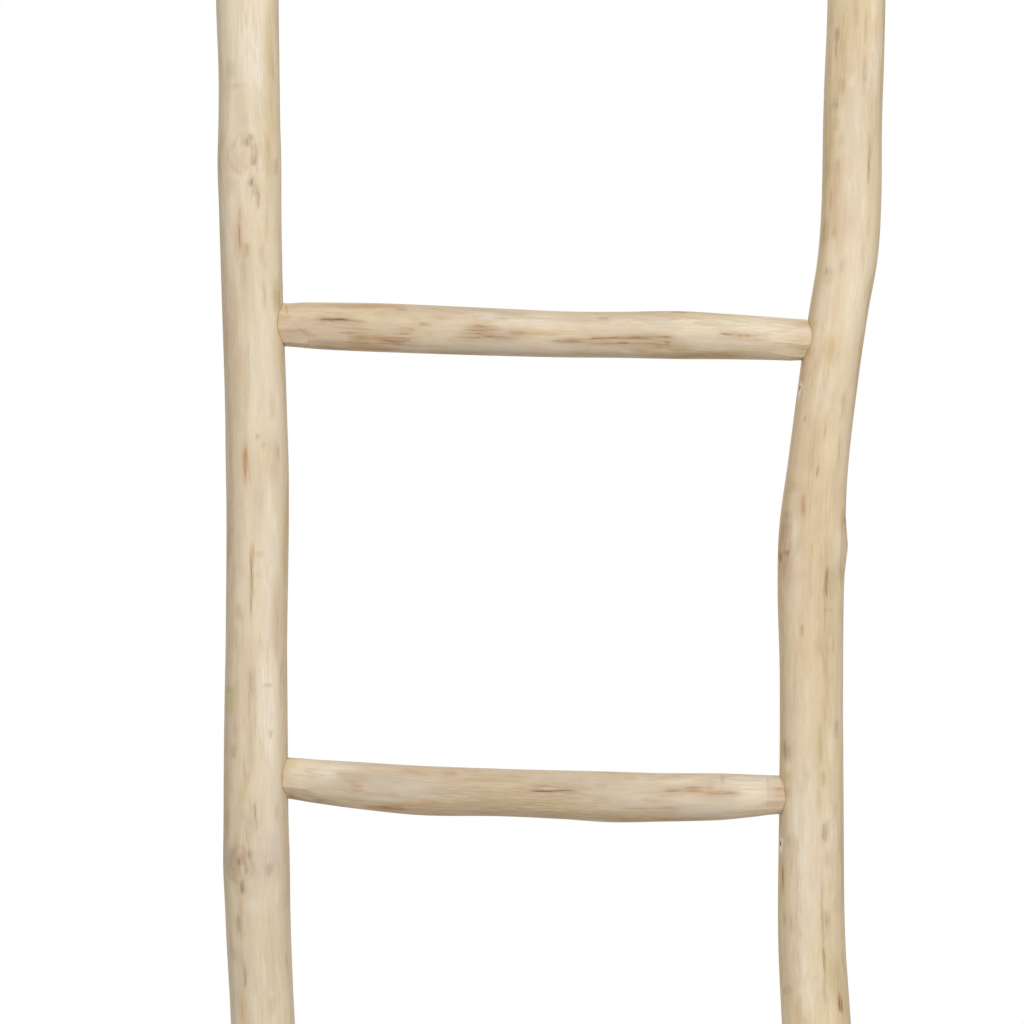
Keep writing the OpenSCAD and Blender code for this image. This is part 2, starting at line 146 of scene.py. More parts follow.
right_post = {
    "side": 0.5,
    "turn": -4.5,
    "bends": [
        (0.00, -0.52, -0.6, 1.18), (0.06, -0.48, -0.2, 1.14), (0.12, -0.60, 0.4, 1.11),
        (0.18, -0.84, 0.8, 1.085), (0.22, -0.97, 0.8, 1.06), (0.28, -0.98, 0.5, 1.03),
        (0.34, -0.99, 0.0, 1.01), (0.38, -1.02, -0.4, 1.05), (0.41, -0.98, -0.7, 1.03),
        (0.44, -0.80, -0.9, 0.95), (0.48, -0.48, -1.0, 0.925), (0.51, -0.19, -0.8, 0.92),
        (0.535, 0.08, -0.6, 0.93), (0.56, 0.20, -0.3, 0.92), (0.60, 0.25, 0.1, 0.905),
        (0.66, 0.38, 0.5, 0.89), (0.72, 0.36, 0.6, 0.885), (0.80, 0.28, 0.3, 0.87),
        (0.88, 0.24, -0.4, 0.86), (1.00, 0.32, -1.0, 0.835),
    ],
    "knots": [
        (0.13, 290, 1.0, 1.0, 36, 0.35), (0.40, 350, 1.3, 0.75, 26, 0.1), (0.405, 221, 0.45, 0.85, 24, 0),
        (0.62, 100, 0.8, 0.9, 34, 0.1), (0.77, 250, 0.8, 1.0, 36, 0.3), (0.92, 60, 0.8, 0.9, 34, 0.2),
    ],
    "hearts": [
        (640, 350, 21, 10, 0.7), (641, 214, 14, 9, 0.3), (208, 290, 17, 10, 0.75), (992, 100, 14, 9, 0.6),
        (1232, 250, 14, 10, 0.7), (1472, 60, 13, 8, 0.7),
    ],
    "lines": [
        ("brown", 1005, 228, 1022, 228, 0.78, 0.2, 0.6), ("grey", 990, 289, 1008, 290, 0.78, 0.1, 0.64),
        ("brown", 911, 303, 941, 307, 1.04, 0.6, 0.56), ("brown", 720, 278, 738, 274, 0.65, 0.1, 0.32),
        ("brown", 700, 312, 725, 308, 0.65, 0.1, 0.32), ("rust", 662, 256, 680, 247, 1.3, 0.2, 0.8),
        ("brown", 602, 299, 624, 299, 1.56, 0.7, 0.68), ("brown", 505, 293, 545, 303, 0.45, 0.1, 0.32),
        ("brown", 478, 213, 494, 213, 1.69, 0.3, 0.64), ("brown", 480, 225, 490, 225, 1.3, 0.2, 0.48),
        ("brown", 417, 291, 432, 291, 0.91, 0.3, 0.64), ("brown", 420, 301, 435, 301, 0.52, 0.1, 0.28),
        ("rust", 378, 212, 400, 212, 1.17, 0.2, 0.72), ("brown", 340, 289, 389, 289, 0.59, 0.5, 0.6),
        ("dark", 317, 290, 340, 290, 0.78, 0.5, 0.52), ("brown", 300, 286, 317, 288, 0.52, 0.2, 0.4),
        ("brown", 348, 233, 365, 233, 0.65, 0.1, 0.36),
    ],
    "end_checks": [
        ("dark", 1555, 245, 1618, 243, 0.6, 1.8, 1), ("dark", 1570, 70, 1614, 72, 0.5, 1.5, 0.9),
        ("dark", -19, 330, 30, 328, 0.6, 1.8, 1), ("dark", 1574, 160, 1611, 161, 0.4, 1.2, 0.8),
    ],
    "patches": [
        # The long ash bands at the front, bearings 255 to 310, are painted highlights. The short ash patches
        # and the one at bearing 212 only pale the wood.
        ("ash", 965, 292, 16, 9, 0.3), ("ash", 920, 270, 70, 10, 0.25), ("ash", 760, 265, 16, 7, 0.35),
        ("brown", 876, 216, 10, 4, 0.25), ("brown", 683, 207, 8, 4, 0.5), ("tan", 660, 258, 40, 6, 0.45),
        ("ash", 440, 212, 30, 5, 0.4), ("ash", 400, 255, 90, 7, 0.4), ("pale", 430, 315, 12, 7, 0.4),
        ("orange", 296, 324, 14, 5, 0.5), ("orange", 700, 205, 330, 5, 0.4),
        ("grey", 975, 272, 60, 12, 0.22), ("ash", 830, 310, 130, 9, 0.12),
        ("ash", 405, 285, 50, 16, 0.25), ("pale", 600, 228, 110, 9, 0.18),
        ("pale", 521, 265, 25, 10, 0.15), ("dark", 1024, 228, 4.5, 1.8, 0.8),
        ("tan", 1015, 246, 34, 4.5, 0.5), ("orange", 1010, 244, 26, 2.5, 0.2),
        ("tan", 997, 262, 6, 3, 0.45), ("pale", 990, 264, 5, 3, 0.4), ("grey", 991, 292, 3, 2.5, 0.5),
        ("brown", 985, 244, 6, 3, 0.4), ("olive", 972, 231, 6, 5, 0.6),
        ("brown", 971, 232, 1.5, 4.5, 0.28), ("olive", 957, 235, 5, 3, 0.5),
        ("olive", 945, 247, 5, 3, 0.4), ("red", 924, 237, 6, 5, 0.35), ("orange", 910, 236, 8, 3, 0.35),
        ("orange", 900, 226, 8, 2, 0.45), ("tan", 883, 238, 14, 3, 0.4),
        ("orange", 875, 238, 3.5, 2, 0.5), ("brown", 873, 206, 9, 2, 0.3),
        ("yellow", 918, 205, 22, 2.5, 0.45), ("violet", 887, 272, 14, 6, 0.35),
        ("pale", 1002, 313, 20, 5, 0.5), ("tan", 985, 336, 18, 3, 0.4), ("tan", 842, 240, 6, 4, 0.5),
        ("dark", 846, 230, 2.5, 1.5, 0.45), ("grey", 850, 262, 5, 2.5, 0.45),
        ("pale", 812, 234, 24, 5, 0.45), ("pale", 830, 295, 32, 9, 0.45),
        ("yellow", 806, 213, 3.5, 6, 0.85), ("orange", 785, 214, 3, 4.5, 0.6),
        ("orange", 790, 262, 6, 6, 0.35), ("grey", 782, 282, 4, 2, 0.35), ("grey", 752, 284, 4, 2, 0.35),
        ("grey", 750, 304, 4, 2, 0.35), ("red", 766, 208, 4, 3, 0.45), ("dark", 735, 232, 2, 1.1, 0.4),
        ("tan", 715, 258, 18, 7, 0.5), ("brown", 696, 272, 4, 1.5, 0.55),
        ("yellow", 688, 215, 4, 4, 0.45), ("red", 684, 224, 3.5, 7, 0.28), ("tan", 680, 298, 22, 5, 0.45),
        ("brown", 663, 220, 3, 3, 0.45), ("red", 640, 220, 24, 8, 0.45), ("brown", 654, 215, 2.2, 6, 0.3),
        ("red", 648, 218, 6, 6, 0.4), ("brown", 633, 212, 2.4, 6, 0.36),
        ("brown", 635, 226, 1.8, 4, 0.55), ("brown", 639, 234, 3, 1.5, 0.5),
        ("dark", 631, 202, 2.5, 2.5, 0.5), ("orange", 626, 217, 3.5, 2.5, 0.75),
        ("orange", 620, 216, 4, 2, 0.5), ("pale", 648, 241, 14, 3, 0.55), ("violet", 640, 250, 6, 3, 0.5),
        ("pale", 628, 247, 8, 3, 0.45), ("tan", 605, 294, 56, 6.5, 0.5), ("pink", 602, 264, 22, 6, 0.45),
        ("olive", 612, 308, 10, 4, 0.45), ("pale", 640, 325, 14, 5, 0.5),
        ("brown", 592, 299, 1.5, 4, 0.19), ("brown", 577, 255, 4, 1.2, 0.6),
        ("yellow", 535, 297, 12, 3, 0.5), ("yellow", 512, 290, 12, 3, 0.55),
        ("olive", 488, 284, 16, 3, 0.5), ("brown", 503, 320, 6, 3, 0.5), ("pale", 474, 222, 4, 4, 0.5),
        ("yellow", 467, 216, 3.5, 6, 0.75), ("brown", 465, 290, 5, 2.5, 0.45),
        ("dark", 442, 205, 3, 2, 0.5), ("olive", 455, 222, 4, 4, 0.5), ("pale", 440, 241, 15, 3.2, 0.5),
        ("olive", 450, 283, 9, 1.6, 0.5), ("grey", 418, 228, 5, 3, 0.45), ("grey", 405, 300, 5, 3, 0.4),
        ("yellow", 384, 309, 6, 4, 0.5), ("yellow", 370, 315, 6, 4, 0.45),
        ("brown", 360, 298, 6, 2.5, 0.45), ("grey", 350, 297, 4, 2, 0.35),
        ("brown", 360, 218, 4, 2, 0.45), ("yellow", 318, 312, 14, 6, 0.5), ("tan", 316, 312, 10, 5, 0.5),
        ("orange", 302, 318, 5, 3, 0.6), ("rust", 297, 318.5, 6, 2.6, 0.6),
        ("dark", 295, 318.5, 4.5, 1.8, 0.9), ("brown", 306, 214, 3, 2.5, 0.45),
        ("grey", 307, 225, 3, 2.5, 0.45), ("grey", 300, 290, 3, 2, 0.4), ("pale", 310, 257, 20, 5, 0.5),
    ],
    "seed": 8,
}


def curve_through(rows, share):
    """A curve through a table's rows: between two rows a value eases from one to the other, and it passes
    each row at the slope between that row's two neighbours."""
    rows = np.array(rows, float)
    slope = np.empty_like(rows)
    slope[1:-1] = (rows[2:] - rows[:-2]) / (rows[2:, :1] - rows[:-2, :1])
    slope[0] = (rows[1] - rows[0]) / (rows[1, 0] - rows[0, 0])
    slope[-1] = (rows[-1] - rows[-2]) / (rows[-1, 0] - rows[-2, 0])
    share = np.asarray(share, float)
    at = np.clip(np.searchsorted(rows[:, 0], share, side="right") - 1, 0, len(rows) - 2)
    gap = (rows[at + 1, 0] - rows[at, 0])[..., None]
    u = (share - rows[at, 0])[..., None] / gap
    ease = u * u * (3 - 2 * u)
    value = (1 - ease) * rows[at] + ease * rows[at + 1]
    value += gap * u * (1 - u) * ((1 - u) * slope[at] - u * slope[at + 1])
    return np.moveaxis(value[..., 1:], -1, 0)


def turned(angle):
    """The same angle between -180 and 180 degrees."""
    return (angle + 180) % 360 - 180


def placed(marks, turn, growth=0.0):
    """Marks put where they belong, to a tenth: each bearing turned by the same few degrees, and each height
    drawn towards eye level by a share that grows from nothing at a post's sides to its full size at the
    front, which stands nearest the eye and looks larger."""
    moved = []
    for mark in marks:
        mark = list(mark)
        ends = (1, 3) if len(mark) == 8 else (1,)
        for end in ends:
            front = max(0, -np.sin(np.radians(mark[end + 1])))
            from_eye = (mark[end] - 1000 * eye_level) * (1 - growth * front)
            mark[end] = round(1000 * eye_level + from_eye, 1)
            mark[end + 1] = round(mark[end + 1] + turn, 1)
        moved.append(tuple(mark))
    return moved


def pith(post, height):
    """The post's middle line: half the spacing to its side, then its bends to the right and to the back."""
    right, back, _ = curve_through(post["bends"], height / ladder_h)
    return (post["side"] * post_spacing + right * post_bend - box_mid[0], back * post_wave - box_mid[1])


def post_r(post, height, bearing):
    """Half the girth, a little oval and a little three-sided as it winds up the post, plus for each knot a
    bell as long as its reach and as wide as its spread, and a collar all round."""
    _, _, girth = curve_through(post["bends"], height / ladder_h)
    share = height / ladder_h
    oval = 0.018 * np.cos(np.radians(2 * bearing - 560 * share))
    lobes = 0.008 * np.cos(np.radians(3 * bearing + 800 * share))
    radius = post_mean_r * girth * (1 + oval + lobes)
    for at, toward, rise, reach, spread, collar in post["knots"]:
        up = (height - at * ladder_h) / (reach * knot_reach)
        round_it = turned(bearing - toward) / spread
        radius = radius + knot_h * np.exp(-up ** 2) * (collar + rise * np.exp(-round_it ** 2))
    return radius


def drawknife_flats(bearing, along, radius, deepest, seed):
    """How far the drawknife's long flats lie under the round skin. Each flat is a plane that wanders a few
    degrees round the branch, and its depth is a slow wave along it. Where flats overlap the deepest counts,
    and their edges are sanded over: half of the depth plus the root of its square and a small square."""
    draw = np.random.default_rng(seed)
    sunk = np.zeros(np.broadcast(bearing, along).shape)
    count = 9
    for flat in range(count):
        shift, wander, beat, start, phase = draw.uniform(0, 1, 5)
        sway = 8 * np.sin(along / (0.05 + 0.05 * wander) + 6.3 * start)
        middle = (flat + 0.6 * shift) * 360 / count + sway
        deep = deepest * (0.45 + 0.55 * np.sin(along / (0.035 + 0.05 * beat) + 6.3 * phase))
        lean = np.clip(np.abs(turned(bearing - middle)), 0, 60)
        below = deep - radius * (1 / np.cos(np.radians(lean)) - 1)
        sunk = np.maximum(sunk, (below + np.sqrt(below ** 2 + 0.00006 ** 2)) / 2)
    return sunk


def open_lines(bearing, along, radius, lines):
    """Checks and streaks. The nearest column of points is drawn onto the line, the columns beside it to its
    edges, and the next ones are eased over; where lines meet, the pulls are shared, and no column passes
    its neighbour. Depth and strength follow half an ellipse from end to end. Moves the bearings, and gives
    the depth and the painted columns."""
    sides = bearing.shape[1]
    step = 360 / sides
    pull, weight, depth = np.zeros_like(bearing), np.zeros_like(bearing), np.zeros_like(bearing)
    painted = []
    for tint, low, low_bearing, high, high_bearing, half, deep, strength in lines:
        run = (along * 1000 - low) / (high - low)
        lens = np.sqrt(np.clip(1 - (2 * run - 1) ** 2, 0, 1))
        past = np.clip(np.abs(run - 0.5) - 0.5, 0, None) * (high - low)
        near = np.exp(-(past / 5) ** 2)
        line = low_bearing + (high_bearing - low_bearing) * np.clip(run, -0.2, 1.2)
        line = line + 0.3 * np.sin(along * 260 + low_bearing) + 0.3 * np.sin(along * 610 + low)
        middle = round((low_bearing + high_bearing) / 2 / step)
        lip = min(np.degrees(half / 1000 / radius), 1.6 * step) * (0.3 + 0.7 * lens)
        reach = (0, 0.6 * lip, 1.4 * lip + 0.1 * step, 0.9 * lip + 1.7 * step)
        for k in (-3, -2, -1, 0, 1, 2, 3):
            column = (middle + k) % sides
            pull[:, column] += near * (line + np.sign(k) * reach[abs(k)] - (middle + k) * step)
            weight[:, column] += near
        depth[:, middle % sides] = np.maximum(depth[:, middle % sides], deep / 1000 * lens)
        for k, full in ((-2, 0.2), (2, 0.2), (-1, 0.75), (1, 0.75), (0, 1)):
            painted.append((tint, (middle + k) % sides, full * strength * lens))
    order = 0.15 * step * np.arange(sides)
    bearing += pull / np.maximum(weight, 1)
    bearing[:] = np.maximum.accumulate(bearing - order, axis=1) + order
    return depth, painted


def halos(lines, wide, strong):
    """The soft band of tinted wood that each line lies in, as stains: a little longer and a few times
    wider."""
    return [
        ("brown" if tint == "dark" else tint, (low + high) / 2, (low_bearing + high_bearing) / 2,
         0.65 * (high - low), 2 * half + wide, strong * strength)
        for tint, low, low_bearing, high, high_bearing, half, deep, strength in lines]


def tone(red, green, blue):
    """A colour as a paint chart gives it, from 0 to 255 a channel, as the linear light of a shader."""
    share = np.array([red, green, blue]) / 255
    light = np.where(share <= 0.04045, share / 12.92, ((share + 0.055) / 1.055) ** 2.4)
    return (*light, 1.0)


# The ash tint is a pale blue-grey. Laid in long bands on the sides that face the front lamp, it is a painted
# highlight. In short patches elsewhere it only pales the wood.
tints = {
    "dark": tone(112, 86, 62), "brown": tone(156, 126, 94), "red": tone(184, 144, 114),
    "rust": tone(172, 122, 76), "orange": tone(196, 157, 112), "tan": tone(196, 169, 134),
    "olive": tone(186, 168, 128), "yellow": tone(204, 188, 138), "grey": tone(182, 168, 148),
    "blue": tone(208, 198, 182), "violet": tone(198, 182, 164), "pink": tone(216, 190, 164),
    "pale": tone(238, 227, 206), "ash": tone(237, 228, 214), "straw": tone(226, 211, 168),
}


def laid_over(coat, tint, cover):
    """A coat, as colour and cover, with one more tint laid over it."""
    return coat * (1 - cover[..., None]) + np.array(tints[tint]) * cover[..., None]


def patched(bearing, along, radius, patches, painted):
    """The marks' colour and cover at each point. Each tinted patch is one of three kinds: most are stains,
    some are painted highlights and some are painted shade. Each falls off as a bell across the grain and
    more squarely along it, and is laid over those before it; then the painted columns of the lines. Gives
    the colour and cover, and how deep the dark spots have dried in."""
    shape = np.broadcast(bearing, along).shape
    coat, sunk = np.zeros((*shape, 4)), np.zeros(shape)
    for tint, at, toward, half_length, half_width, strength in patches:
        up = (along * 1000 - at) / half_length
        across = np.radians(turned(bearing - toward)) * radius * 1000 / half_width
        cover = strength * np.exp(-0.7 * up ** 4 - 0.8 * across ** 2)
        coat = laid_over(coat, tint, cover)
        if tint == "dark":
            sunk += 0.0006 * cover
    for tint, column, cover in painted:
        coat[:, column] = laid_over(coat[:, column], tint, cover)
    cover = coat[..., 3:]
    bare = np.array(tints["tan"][:3]) * 0.001
    return np.concatenate([(coat[..., :3] + bare) / (cover + 0.001), cover], axis=-1), sunk


def part_round_knots(bearing, along, radius, hearts):
    """The grain's own bearing, which parts round a knot as water parts round a stone, each point's distance
    from the nearest knot's heart, where 1 is the scar's edge, and how strong that knot is."""
    grain, heart = bearing.copy(), np.full(np.broadcast(bearing, along).shape, 9.0)
    strong = np.zeros_like(heart)
    for at, toward, half_length, half_width, strength in hearts:
        up = (along * 1000 - at) / half_length
        across = np.radians(turned(bearing - toward)) * radius * 1000 / half_width
        turn = np.arctan2(up, across)
        uneven = 1 + 0.09 * np.sin(3 * turn + at) + 0.06 * np.sin(5 * turn + 2 * at)
        away = np.sqrt(up ** 2 + across ** 2) * uneven
        shift = min(1, 0.4 + strength) * across / np.maximum(away, 1) ** 2 * np.exp(-(away / 4) ** 2)
        grain = grain - 0.7 * np.degrees(shift * half_width / 1000 / radius)
        strong = np.where(away < heart, strength, strong)
        heart = np.minimum(heart, away)
    return grain, heart, strong


def knot_relief(heart, strong):
    """A knot's own shape: a crease round its scar's edge and a shallow trough inside it."""
    crease = 0.00035 * np.exp(-((heart - 1) / 0.15) ** 2)
    return strong * (crease + 0.0003 * np.exp(-((heart - 0.55) / 0.22) ** 2))


def stray_marks(count, length, seen, front, rusty, seed):
    """Marks where no photograph shows any: one after another along the branch, each about 137.5 degrees
    further round, which keeps neighbours apart, and none where a range of lengths and of bearings is seen.
    An eighth of them, here and there, is of each kind: check, tan band, streak, pale band, brown thread,
    grey smudge, orange fleck, dark fleck."""
    draw = np.random.default_rng(seed)
    kinds = draw.permutation(count) % 8
    lines, patches = [], []
    for n, kind in enumerate(kinds):
        at = (n + draw.uniform(0.1, 0.9)) / count * length
        toward = (n * 137.5 + draw.uniform(10, 70)) % 360
        size, lean, width, strength, deep = draw.uniform(0, 1, 5)
        if seen[0] < at < seen[1] and front[0] < toward < front[1]:
            continue
        run, lean = 5 + 17 * size ** 2, 4 * lean - 2
        where = (at - run, toward, at + run, toward + lean)
        if kind == 0:
            lines.append(("dark", *where, 0.3 + 0.3 * width, 0.4 + 0.4 * deep, 0.6 + 0.25 * strength))
        elif kind == 1:
            patches.append(("tan", at, toward, 12 + 24 * size, 3 + 3 * width, 0.4 + 0.3 * strength))
        elif kind == 2:
            lines.append(("rust", *where, 0.5 + 0.6 * width, 0.2, rusty * (0.6 + 0.4 * strength)))
            patches.append(("orange", at, toward + 3, run * 1.2, 2 + 2 * width, rusty * 0.7))
        elif kind == 3:
            patches.append(("pale", at, toward, 12 + 20 * size, 4 + 4 * width, 0.5))
        elif kind == 4:
            lines.append(("brown", *where, 0.35 + 0.5 * width, 0.1, 0.5 + 0.4 * strength))
        elif kind == 5:
            patches.append(("grey", at, toward, 4 + 8 * size, 2 + 4 * width, 0.45))
        elif kind == 6:
            faded = rusty * (0.35 + 0.3 * strength)
            patches.append(("orange", at, toward, 8 + 14 * size, 1.2 + 2 * width, faded))
        else:
            patches.append(("dark", at, toward, 2 + 5 * size, 0.8 + 0.8 * width, 0.35 + 0.35 * strength))
    return lines, patches


def in_scene(name, data):
    """A mesh, lamp or camera as an object of the scene."""
    holder = bpy.data.objects.new(name, data)
    bpy.context.scene.collection.objects.link(holder)
    return holder


def quads_between(ring):
    """The corners of the quads between one ring of points and the next, from the points' numbers."""
    after = np.roll(ring, -1, axis=1)
    return np.stack([ring[:-1], after[:-1], after[1:], ring[1:]], axis=-1).reshape(-1, 4)


def skin(name, rings, low_pole, high_pole, capped):
    """Closes rows of points, each a ring, into one skin with a pole at each end. The first and the last rows
    of quads, as many as capped says, and the fans at the poles are sawn ends and take the second finish."""
    rows, sides, _ = rings.shape
    ring = np.arange(rows * sides).reshape(rows, sides)
    quads = quads_between(ring)
    low = np.stack([np.roll(ring[0], -1), ring[0], np.full(sides, rows * sides)], axis=-1)
    high = np.stack([ring[-1], np.roll(ring[-1], -1), np.full(sides, rows * sides + 1)], axis=-1)
    points = np.concatenate([rings.reshape(-1, 3), [low_pole, high_pole]])
    corners = np.concatenate([quads.ravel(), low.ravel(), high.ravel()])
    starts = np.concatenate([np.arange(len(quads)) * 4, len(quads) * 4 + np.arange(2 * sides) * 3])
    finish = np.zeros(len(starts), int)
    finish[:capped * sides] = 1
    finish[len(quads) - capped * sides:] = 1
    mesh = bpy.data.meshes.new(name)
    mesh.vertices.add(len(points))
    mesh.vertices.foreach_set("co", points.ravel())
    mesh.loops.add(len(corners))
    mesh.loops.foreach_set("vertex_index", corners)
    mesh.polygons.add(len(starts))
    mesh.polygons.foreach_set("loop_start", starts)
    mesh.polygons.foreach_set("material_index", finish)
    mesh.polygons.foreach_set("use_smooth", np.ones(len(starts), bool))
    mesh.update(calc_edges=True)
    mesh.validate()
    return in_scene(name, mesh)


def keep_number(piece, name, values, *poles):
    """Keeps one number for each point of a piece, a skin's two poles last, for its finish to read."""
    kept = piece.data.attributes.new(name, "FLOAT", "POINT")
    kept.data.foreach_set("value", np.append(values, poles))


def set_grain(piece, bearing, away, along, low_pole, high_pole):
    """Keeps each point's place in the straight branch that the bent one grew as: its place in the cross
    section, and its way along. The finish reads its grain there, so the grain follows every bend."""
    right, back = away * np.cos(np.radians(bearing)), away * np.sin(np.radians(bearing))
    grain = np.stack([right, back, np.broadcast_to(along, right.shape)], axis=-1)
    kept = piece.data.attributes.new("grain", "FLOAT_VECTOR", "POINT")
    kept.data.foreach_set("vector", np.append(grain.ravel(), [0, 0, low_pole, 0, 0, high_pole]))


def dress(piece, heart, strong, seam, coat, finish):
    """Keeps a branch's knots, its way from a seam and its marks for its finish, the two poles as dark as the
    pith, and gives it that finish and the sawn ends theirs."""
    keep_number(piece, "heart", heart, 9, 9)
    keep_number(piece, "strong", strong, 0, 0)
    keep_number(piece, "seam", seam, 1, 1)
    kept = piece.data.attributes.new("marks", "FLOAT_COLOR", "POINT")
    kept.data.foreach_set("color", np.append(coat.ravel(), [*tints["dark"][:3], 0.7] * 2))
    piece.data.materials.append(finish)
    piece.data.materials.append(end_finish)


class Bench:
    """Lays the shader nodes of one finish, or of the room. Each call adds a node or a few and gives back
    the last one's output."""

    def __init__(self, name, kind="materials", shader="Principled BSDF"):
        self.material = getattr(bpy.data, kind).new(name)
        self.material.use_nodes = True
        self.tree = self.material.node_tree
        self.shader = self.tree.nodes[shader]

    def plug(self, node, sockets):
        for socket, value in sockets.items():
            if isinstance(value, bpy.types.NodeSocket):
                self.tree.links.new(value, node.inputs[socket])
            else:
                node.inputs[socket].default_value = value

    def lay(self, kind, output, sockets, **settings):
        node = self.tree.nodes.new(kind)
        for setting, value in settings.items():
            setattr(node, setting, value)
        self.plug(node, sockets)
        return node.outputs[output]

    def kept(self, name, output="Fac"):
        return self.lay("ShaderNodeAttribute", output, {}, attribute_name=name)

    def stretched(self, place, by, shift=(0, 0, 0)):
        sockets = {0: place, 1: by, 2: shift}
        return self.lay("ShaderNodeVectorMath", 0, sockets, operation="MULTIPLY_ADD")

    def noise(self, place, by, shift=(0, 0, 0), detail=2.0, rough=0.5, output="Fac"):
        place = self.stretched(place, by, shift)
        sockets = {"Vector": place, "Scale": 1.0, "Detail": detail, "Roughness": rough}
        return self.lay("ShaderNodeTexNoise", output, sockets)

    def eased(self, value, low, high, to_low=0.0, to_high=1.0):
        sockets = {"Value": value, "From Min": low, "From Max": high, "To Min": to_low, "To Max": to_high}
        return self.lay("ShaderNodeMapRange", 0, sockets, interpolation_type="SMOOTHSTEP")

    def math(self, operation, first, second=0.0, third=0.0):
        return self.lay("ShaderNodeMath", 0, {0: first, 1: second, 2: third}, operation=operation)

    def times(self, first, second):
        return self.math("MULTIPLY", first, second)

    def mixed(self, factor, first, second, mode="MIX"):
        sockets = {0: factor, 6: first, 7: second}
        return self.lay("ShaderNodeMix", 2, sockets, data_type="RGBA", blend_type=mode)

    def shaded(self, colour, value):
        grey = self.lay("ShaderNodeCombineColor", 0, {0: value, 1: value, 2: value})
        return self.mixed(1.0, colour, grey, "MULTIPLY")

    def raised(self, height, distance):
        return self.lay("ShaderNodeBump", 0, {"Height": height, "Distance": distance, "Strength": 1.0})

    def looked_at(self):
        """1 on the rays that show a thing to the camera, straight, in a gloss or through glass, else 0."""
        paths = self.tree.nodes.new("ShaderNodeLightPath")
        seen = self.math("MAXIMUM", paths.outputs["Is Camera Ray"], paths.outputs["Is Glossy Ray"])
        return self.math("MAXIMUM", seen, paths.outputs["Is Transmission Ray"])

    def shade(self, **sockets):
        self.plug(self.shader, {name.replace("_", " "): value for name, value in sockets.items()})
        return self.material


